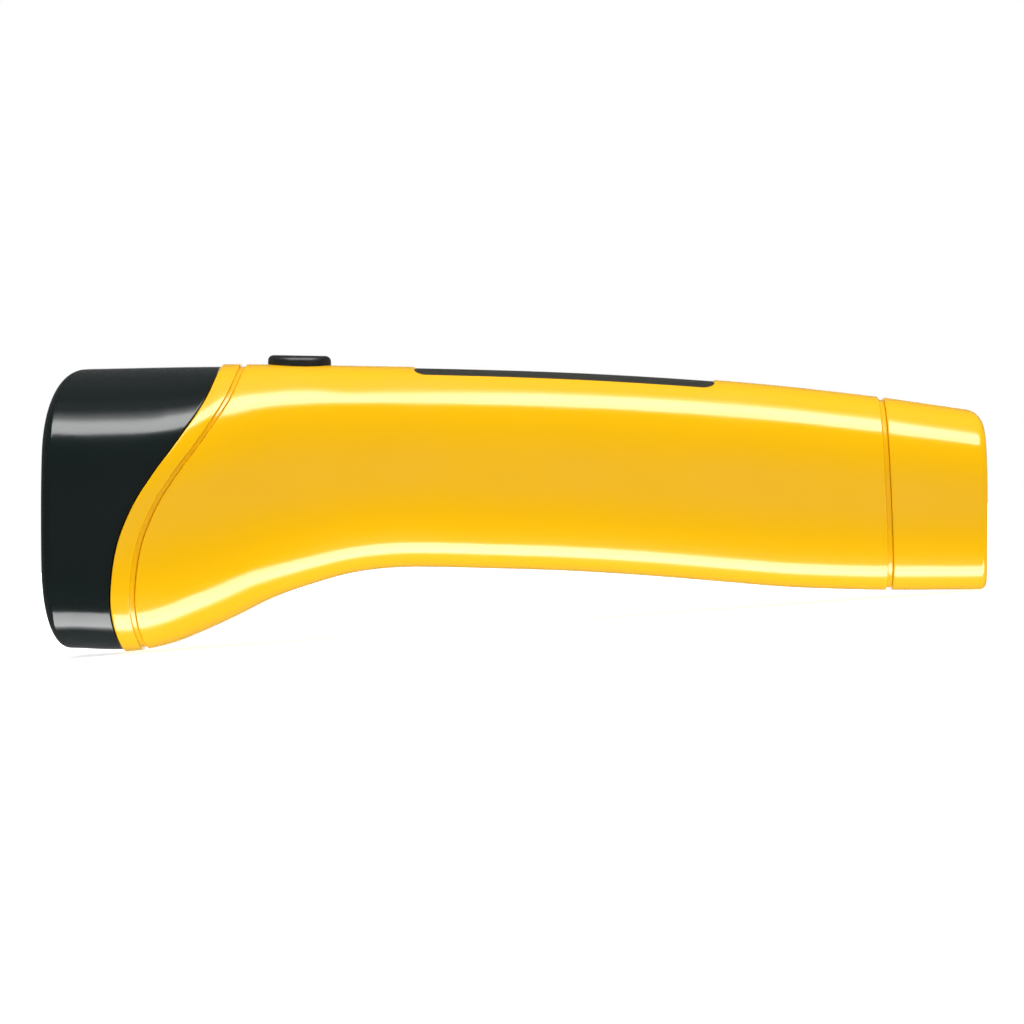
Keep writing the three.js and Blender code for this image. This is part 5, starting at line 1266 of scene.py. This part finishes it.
def bowl_place(share, thickness):
    """A place on the bowl, at a share of its depth, and its radius there with a thickness added."""
    radius = np.sqrt(bowl_mouth ** 2 + share * (bowl_throat ** 2 - bowl_mouth ** 2))
    return bowl_front + share * (bowl_rear - bowl_front), radius + thickness


bowl_depth_shares = np.linspace(0, 1, bowl_rings)
bowl_profile = [bowl_place(share, 0) for share in bowl_depth_shares]
bowl_profile += [(bowl_rear, bowl_back_rim), (bowl_rear - bowl_wall, bowl_back_rim)]
bowl_profile += [bowl_place(share, bowl_wall) for share in reversed(bowl_depth_shares)
                 if bowl_rim_share < share < 1 - bowl_rim_share]
bowl_profile += [(bowl_front + bowl_wall, lens_seat_radius), (bowl_front, lens_seat_radius)]
bowl = object_from("reflector_bowl", turned(bowl_profile, "x", steps=turn_steps))
place_piece(bowl, "reflector_mirror", "handle", "reflector")

# %% [markdown]
# Each lamp is a clear dome on a flange, as moulded light-emitting diodes are, with a small brass cup
# inside that holds the chip. Three of them stand in a ring. The cup is a body of its own, and not
# a colour on the dome, because it is seen through the clear plastic.

# %% Lamps of the light
led_radius, led_rim, led_tip, led_base, led_flange = 2.5, 2.8, 18.5, 26.5, 1.0
led_ring, led_degrees = 3.3, (90, 210, 330)
led_rings, led_steps, cup_steps = 17, 48, 32
cup_floor, cup_front, cup_rear, cup_mouth, cup_radius = 24.0, 23.3, 26.0, 0.55, 0.9
led_profile = dome(led_tip, led_radius, led_radius, quarter(led_rings))
led_profile += [(led_base - led_flange, led_radius), (led_base - led_flange, led_rim),
                (led_base, led_rim), (led_base, 0)]
cup_profile = [(cup_floor, 0), (cup_front, cup_mouth), (cup_front, cup_radius),
               (cup_rear, cup_radius), (cup_rear, 0)]
for count, turn in enumerate(np.radians(led_degrees), 1):
    centre = (led_ring * math.cos(turn), led_ring * math.sin(turn))
    body = object_from(f"lamp_{count}", turned(led_profile, "x", centre, led_steps))
    place_piece(body, "led_body", "handle", f"led_{count}")
    cup = object_from(f"lamp_cup_{count}", turned(cup_profile, "x", centre, cup_steps))
    place_piece(cup, "brass", "handle")

# %% [markdown]
# The crank arm lies folded along the right side. It is a flat moulded bar with soft edges, a hub over
# the shaft and a slot at its end, where the knob folds in. A filled two-dimensional curve with a bevel
# gives the bar and its slot the same soft edge all round. A box with a cut slot would need each of
# its edges bevelled.

# %% The arm's own frame
arm_droop_degrees = 4.3
arm_droop = math.radians(arm_droop_degrees)
arm_middle, arm_half, arm_bevel, arm_bevel_steps = 21.4, 3.0, 0.7, 4
bar_merge = 0.001


def on_arm(points):
    """From the arm's own frame, along it, across the light and up, to the light's frame."""
    p = np.asarray(points, float)
    x = crank_place[0] + p[..., 0] * math.cos(arm_droop) + p[..., 2] * math.sin(arm_droop)
    z = crank_place[1] - p[..., 0] * math.sin(arm_droop) + p[..., 2] * math.cos(arm_droop)
    return np.stack([x, p[..., 1], z], -1)


def move_to_arm(source):
    """Moves a mesh that was built in the light's frame as if the arm's frame were it."""
    for vert in source.verts:
        vert.co = Vector(in_place(on_arm(in_frame(vert.co))))
    return source


def arc(centre, radius, start, end, steps):
    """Points of an arc in the arm's plane, between two angles in degrees."""
    return [(centre + radius * math.cos(t), radius * math.sin(t))
            for t in np.radians(np.linspace(start, end, steps))]


def flat_bar(outlines):
    """A bar cut from a sheet: the first outline is its edge, the others are holes in it."""
    data = bpy.data.curves.new("bar", "CURVE")
    data.dimensions = "2D"
    data.fill_mode = "BOTH"
    data.extrude = arm_half - arm_bevel
    data.bevel_depth = arm_bevel
    data.bevel_resolution = arm_bevel_steps
    data.offset = -arm_bevel
    for outline in outlines:
        line = data.splines.new("POLY")
        line.points.add(len(outline) - 1)
        for point, (u, w) in zip(line.points, outline):
            point.co = (u, w, 0, 1)
        line.use_cyclic_u = True
    holder = bpy.data.objects.new("bar", data)
    bpy.context.scene.collection.objects.link(holder)
    mesh = bpy.data.meshes.new_from_object(holder.evaluated_get(bpy.context.evaluated_depsgraph_get()))
    bpy.data.objects.remove(holder)
    made = bmesh.new()
    made.from_mesh(mesh)
    bpy.data.meshes.remove(mesh)
    bmesh.ops.remove_doubles(made, verts=made.verts, dist=bar_merge)
    for vert in made.verts:
        u, w, across = vert.co
        vert.co = Vector(in_place(on_arm((u, arm_middle + across, w))))
    bmesh.ops.recalc_face_normals(made, faces=made.faces)
    return made


print("arm", 2 * arm_half, "mm thick")

# %% [markdown]
# The hub has a stepped bore: the shaft comes in from the inner side, the screw's head sits in the
# outer recess, and a thin wall with a hole for the screw is left between them.

# %% Crank arm
hub_inner, hub_outer, hub_radius, hub_lip, hub_edge = 17.9, 24.9, 7.5, 1.2, 0.6
hub_seat, hub_foot, hub_recess = 20.6, 18.0, 23.0
shaft_bore, recess_bore, screw_bore = 3.2, 3.3, 1.3
end_place, end_radius = 50.5, 6.5
slot_start, slot_end, slot_half_width, slot_corner = 27.0, 54.5, 4.5, 1.5
end_steps, hub_hole_steps, hub_steps = 49, 73, 128

bar_edge = arc(0, hub_radius, 90, 270, end_steps) + arc(end_place, end_radius, -90, 90, end_steps)
slot_x, slot_y = rounded_outline((slot_start + slot_end) / 2, (slot_end - slot_start) / 2,
                                 slot_half_width, slot_corner)
slot_edge = list(zip(slot_x, slot_y))[::-1]
hub_hole = arc(0, hub_radius - hub_lip, 360, 0, hub_hole_steps)[:-1]
bar = flat_bar([bar_edge, slot_edge, hub_hole])
hub_profile = [
    (hub_seat, shaft_bore), (hub_foot, shaft_bore), (hub_inner, recess_bore), (hub_inner, hub_radius),
    (hub_outer, hub_radius), (hub_outer, recess_bore), (hub_recess, recess_bore), (hub_recess, screw_bore),
    (hub_seat, screw_bore)]
hub = move_to_arm(turned_loop(hub_profile, hub_edge, "y", steps=hub_steps))
place_piece(object_from("arm", joined(bar, hub)), "black_matte", "crank", "crank_arm")

# %% [markdown]
# A screw is a turned body with a low dome and a cross recess. Every screw comes from one function, and
# its head's shape follows its own width and height by fixed shares, as standard screws do. The recess
# is cut into the head, because a dark cross painted on it would look flat from the side.

# %% Screws
tip_length, tip_taper_length, tip_share = 1.4, 0.6, 0.6
crown_share, crown_flat_share = 0.35, 0.55
recess_length_share, recess_width_share, recess_depth_share = 1.1, 0.3, 0.55
recess_mouth_share, recess_floor_share, recess_overrun = 1.15, 0.6, 0.5
crown_rings, screw_steps, shank_radius = 9, 64, 1.0
# each screw: seat, head radius, top of the head, tip
arm_screw_sizes = (23.3, 3.0, 24.6, 14.0)
shell_screw_sizes = (9.9, 1.9, 11.3, -8.0)
square_corners = ((-1, -1), (1, -1), (1, 1), (-1, 1))
block_faces = ((3, 2, 1, 0), (4, 5, 6, 7), (0, 1, 5, 4), (1, 2, 6, 5), (2, 3, 7, 6), (3, 0, 4, 7))


def cross_cutter(place, top, arm_length, arm_width, depth):
    """Two crossing tools, a little narrower at their points, for the recess in a screw head."""
    tools = []
    for long_side, short_side in ((arm_length, arm_width), (arm_width, arm_length)):
        made = bmesh.new()
        corners = [(place[0] + u * long_side / 2 * taper, across, place[1] + w * short_side / 2 * taper)
                   for across, taper in ((top + recess_overrun, recess_mouth_share),
                                         (top - depth, recess_floor_share))
                   for u, w in square_corners]
        verts = [made.verts.new(p) for p in in_place(np.array(corners))]
        for ids in block_faces:
            made.faces.new([verts[i] for i in ids])
        bmesh.ops.recalc_face_normals(made, faces=made.faces)
        tools.append(object_from("recess", made))
    return tools


def screw_piece(name, place, sizes, body, node):
    """A pan head screw with a cross recess, pointing away from the crank side."""
    seat, head_radius, head_top, tip = sizes
    height = head_top - seat
    crown = height * crown_share
    profile = [(tip, 0), (tip + tip_taper_length, shank_radius * tip_share),
               (tip + tip_length, shank_radius), (seat, shank_radius), (seat, head_radius)]
    for t in quarter(crown_rings):
        width_share = crown_flat_share + (1 - crown_flat_share) * np.cos(t)
        profile.append((head_top - crown * (1 - np.sin(t)), head_radius * width_share))
    profile.append((head_top, 0))
    made = object_from(name, turned(profile, "y", place, screw_steps))
    cut_away(made, cross_cutter(place, head_top, head_radius * recess_length_share,
                                head_radius * recess_width_share, height * recess_depth_share))
    place_piece(made, "steel", body, node)


screw_piece("arm_screw_head", crank_place, arm_screw_sizes, "crank", "arm_screw")
for count, place in enumerate(screw_places, 1):
    screw_piece(f"shell_screw_head_{count}", place, shell_screw_sizes, "handle", f"shell_screw_{count}")

# %% [markdown]
# The knob folds about a steel pin across the slot. Its core carries a sleeve that spins, with grooves
# for the fingers, and a rivet at its end keeps the sleeve on. One body would be simpler, but the pin
# stays with the arm, the core folds and the sleeve spins.

# %% Knob's pin and core
hinge_place = 50.0
pin_half, pin_chamfer, pin_radius, pin_steps = 6.2, 0.2, 1.0, 32
barrel_half, barrel_bore, barrel_radius, barrel_edge, barrel_steps = 4.2, 1.3, 2.8, 0.3, 64
rod_end, rod_radius, rod_sink, rod_steps = 30.5, 1.5, 1.6, 48

pin_profile = [(-pin_half, 0), (-pin_half, pin_radius - pin_chamfer), (pin_chamfer - pin_half, pin_radius),
               (pin_half - pin_chamfer, pin_radius), (pin_half, pin_radius - pin_chamfer), (pin_half, 0)]
pin = move_to_arm(turned(pin_profile, "z", (hinge_place, arm_middle), pin_steps))
place_piece(object_from("hinge_pin", pin), "steel", "crank", "knob_hinge_pin")

barrel = tube("z", barrel_bore, barrel_radius, -barrel_half, barrel_half, barrel_edge,
              (hinge_place, arm_middle), barrel_steps)
rod = cylinder("x", rod_radius, rod_end, hinge_place - rod_sink, (arm_middle, 0), rod_steps)
stub = object_from("knob_core", joined(move_to_arm(barrel), move_to_arm(rod)))
place_piece(stub, "black_matte", "knob", "knob_stub")

# %% Knob's sleeve and rivet
grip_start, grip_end, grip_bore, grip_end_radius, grip_radius, grip_edge = 29.6, 46.9, 1.8, 3.8, 4.0, 0.5
groove_first, groove_last, groove_count = 32.5, 43.0, 5
groove_width, groove_slope, groove_radius = 1.0, 0.25, 3.65
grip_steps = 96
rivet_tip, rivet_dome, rivet_radius, rivet_seat, rivet_end, rivet_steps = 28.5, 0.8, 2.6, 29.3, 30.2, 48
rivet_degrees = range(0, 81, 10)

grip_profile = [(grip_start, grip_bore), (grip_start, grip_end_radius)]
for start in np.linspace(groove_first, groove_last, groove_count):
    end = start + groove_width
    grip_profile += [(start, grip_radius), (start + groove_slope, groove_radius),
                     (end - groove_slope, groove_radius), (end, grip_radius)]
grip_profile += [(grip_end, grip_end_radius), (grip_end, grip_bore)]
grip = move_to_arm(turned_loop(grip_profile, grip_edge, "x", (arm_middle, 0), grip_steps))
place_piece(object_from("grip", grip), "black_matte", "grip", "knob_sleeve")

rivet_profile = dome(rivet_tip, rivet_dome, rivet_radius, np.radians(rivet_degrees))
rivet_profile += [(rivet_seat, rivet_radius), (rivet_seat, rod_radius), (rivet_end, rod_radius),
                  (rivet_end, 0)]
rivet = move_to_arm(turned(rivet_profile, "x", (arm_middle, 0), rivet_steps))
place_piece(object_from("rivet", rivet), "steel", "knob", "knob_rivet")

# %% [markdown]
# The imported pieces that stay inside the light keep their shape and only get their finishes. They are
# seen when the cap is off, or through the lens. Finer copies would cost time and show little more.

# %% Finishes of the inner pieces
inner_finishes = {
    "circuit_board": ["led_board", "main_board"],
    "black_matte": ["switch_housing", "battery_cradle"],
    "gear_plastic": ["switch_plunger", "gear_plate", "main_gear", "gear_1", "gear_2"],
    "steel": ["axle_1", "axle_2", "generator_can", "rotor_shaft", "crank_shaft",
              "plate_screw_1", "plate_screw_2", "front_contact_plate", "tail_contact_plate",
              "contact_spring_1", "contact_spring_2", "contact_spring_3"],
    "brass": ["rotor_pinion", "crank_bush"],
    "copper_wire": ["generator_coil"],
    "magnet": ["rotor_magnet"],
    "cell_wrap": ["battery_1", "battery_2", "battery_3"],
    "black_rubber": ["tail_seal", "led_wire_black", "cell_wire_black", "generator_wire_black"],
    "red_wire": ["led_wire_red", "cell_wire_red", "generator_wire_red"],
}
for finish, names in inner_finishes.items():
    for name in names:
        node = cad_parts[name]
        node.data.materials.clear()
        node.data.materials.append(finishes[finish])
print("inner pieces", sum(len(names) for names in inner_finishes.values()))
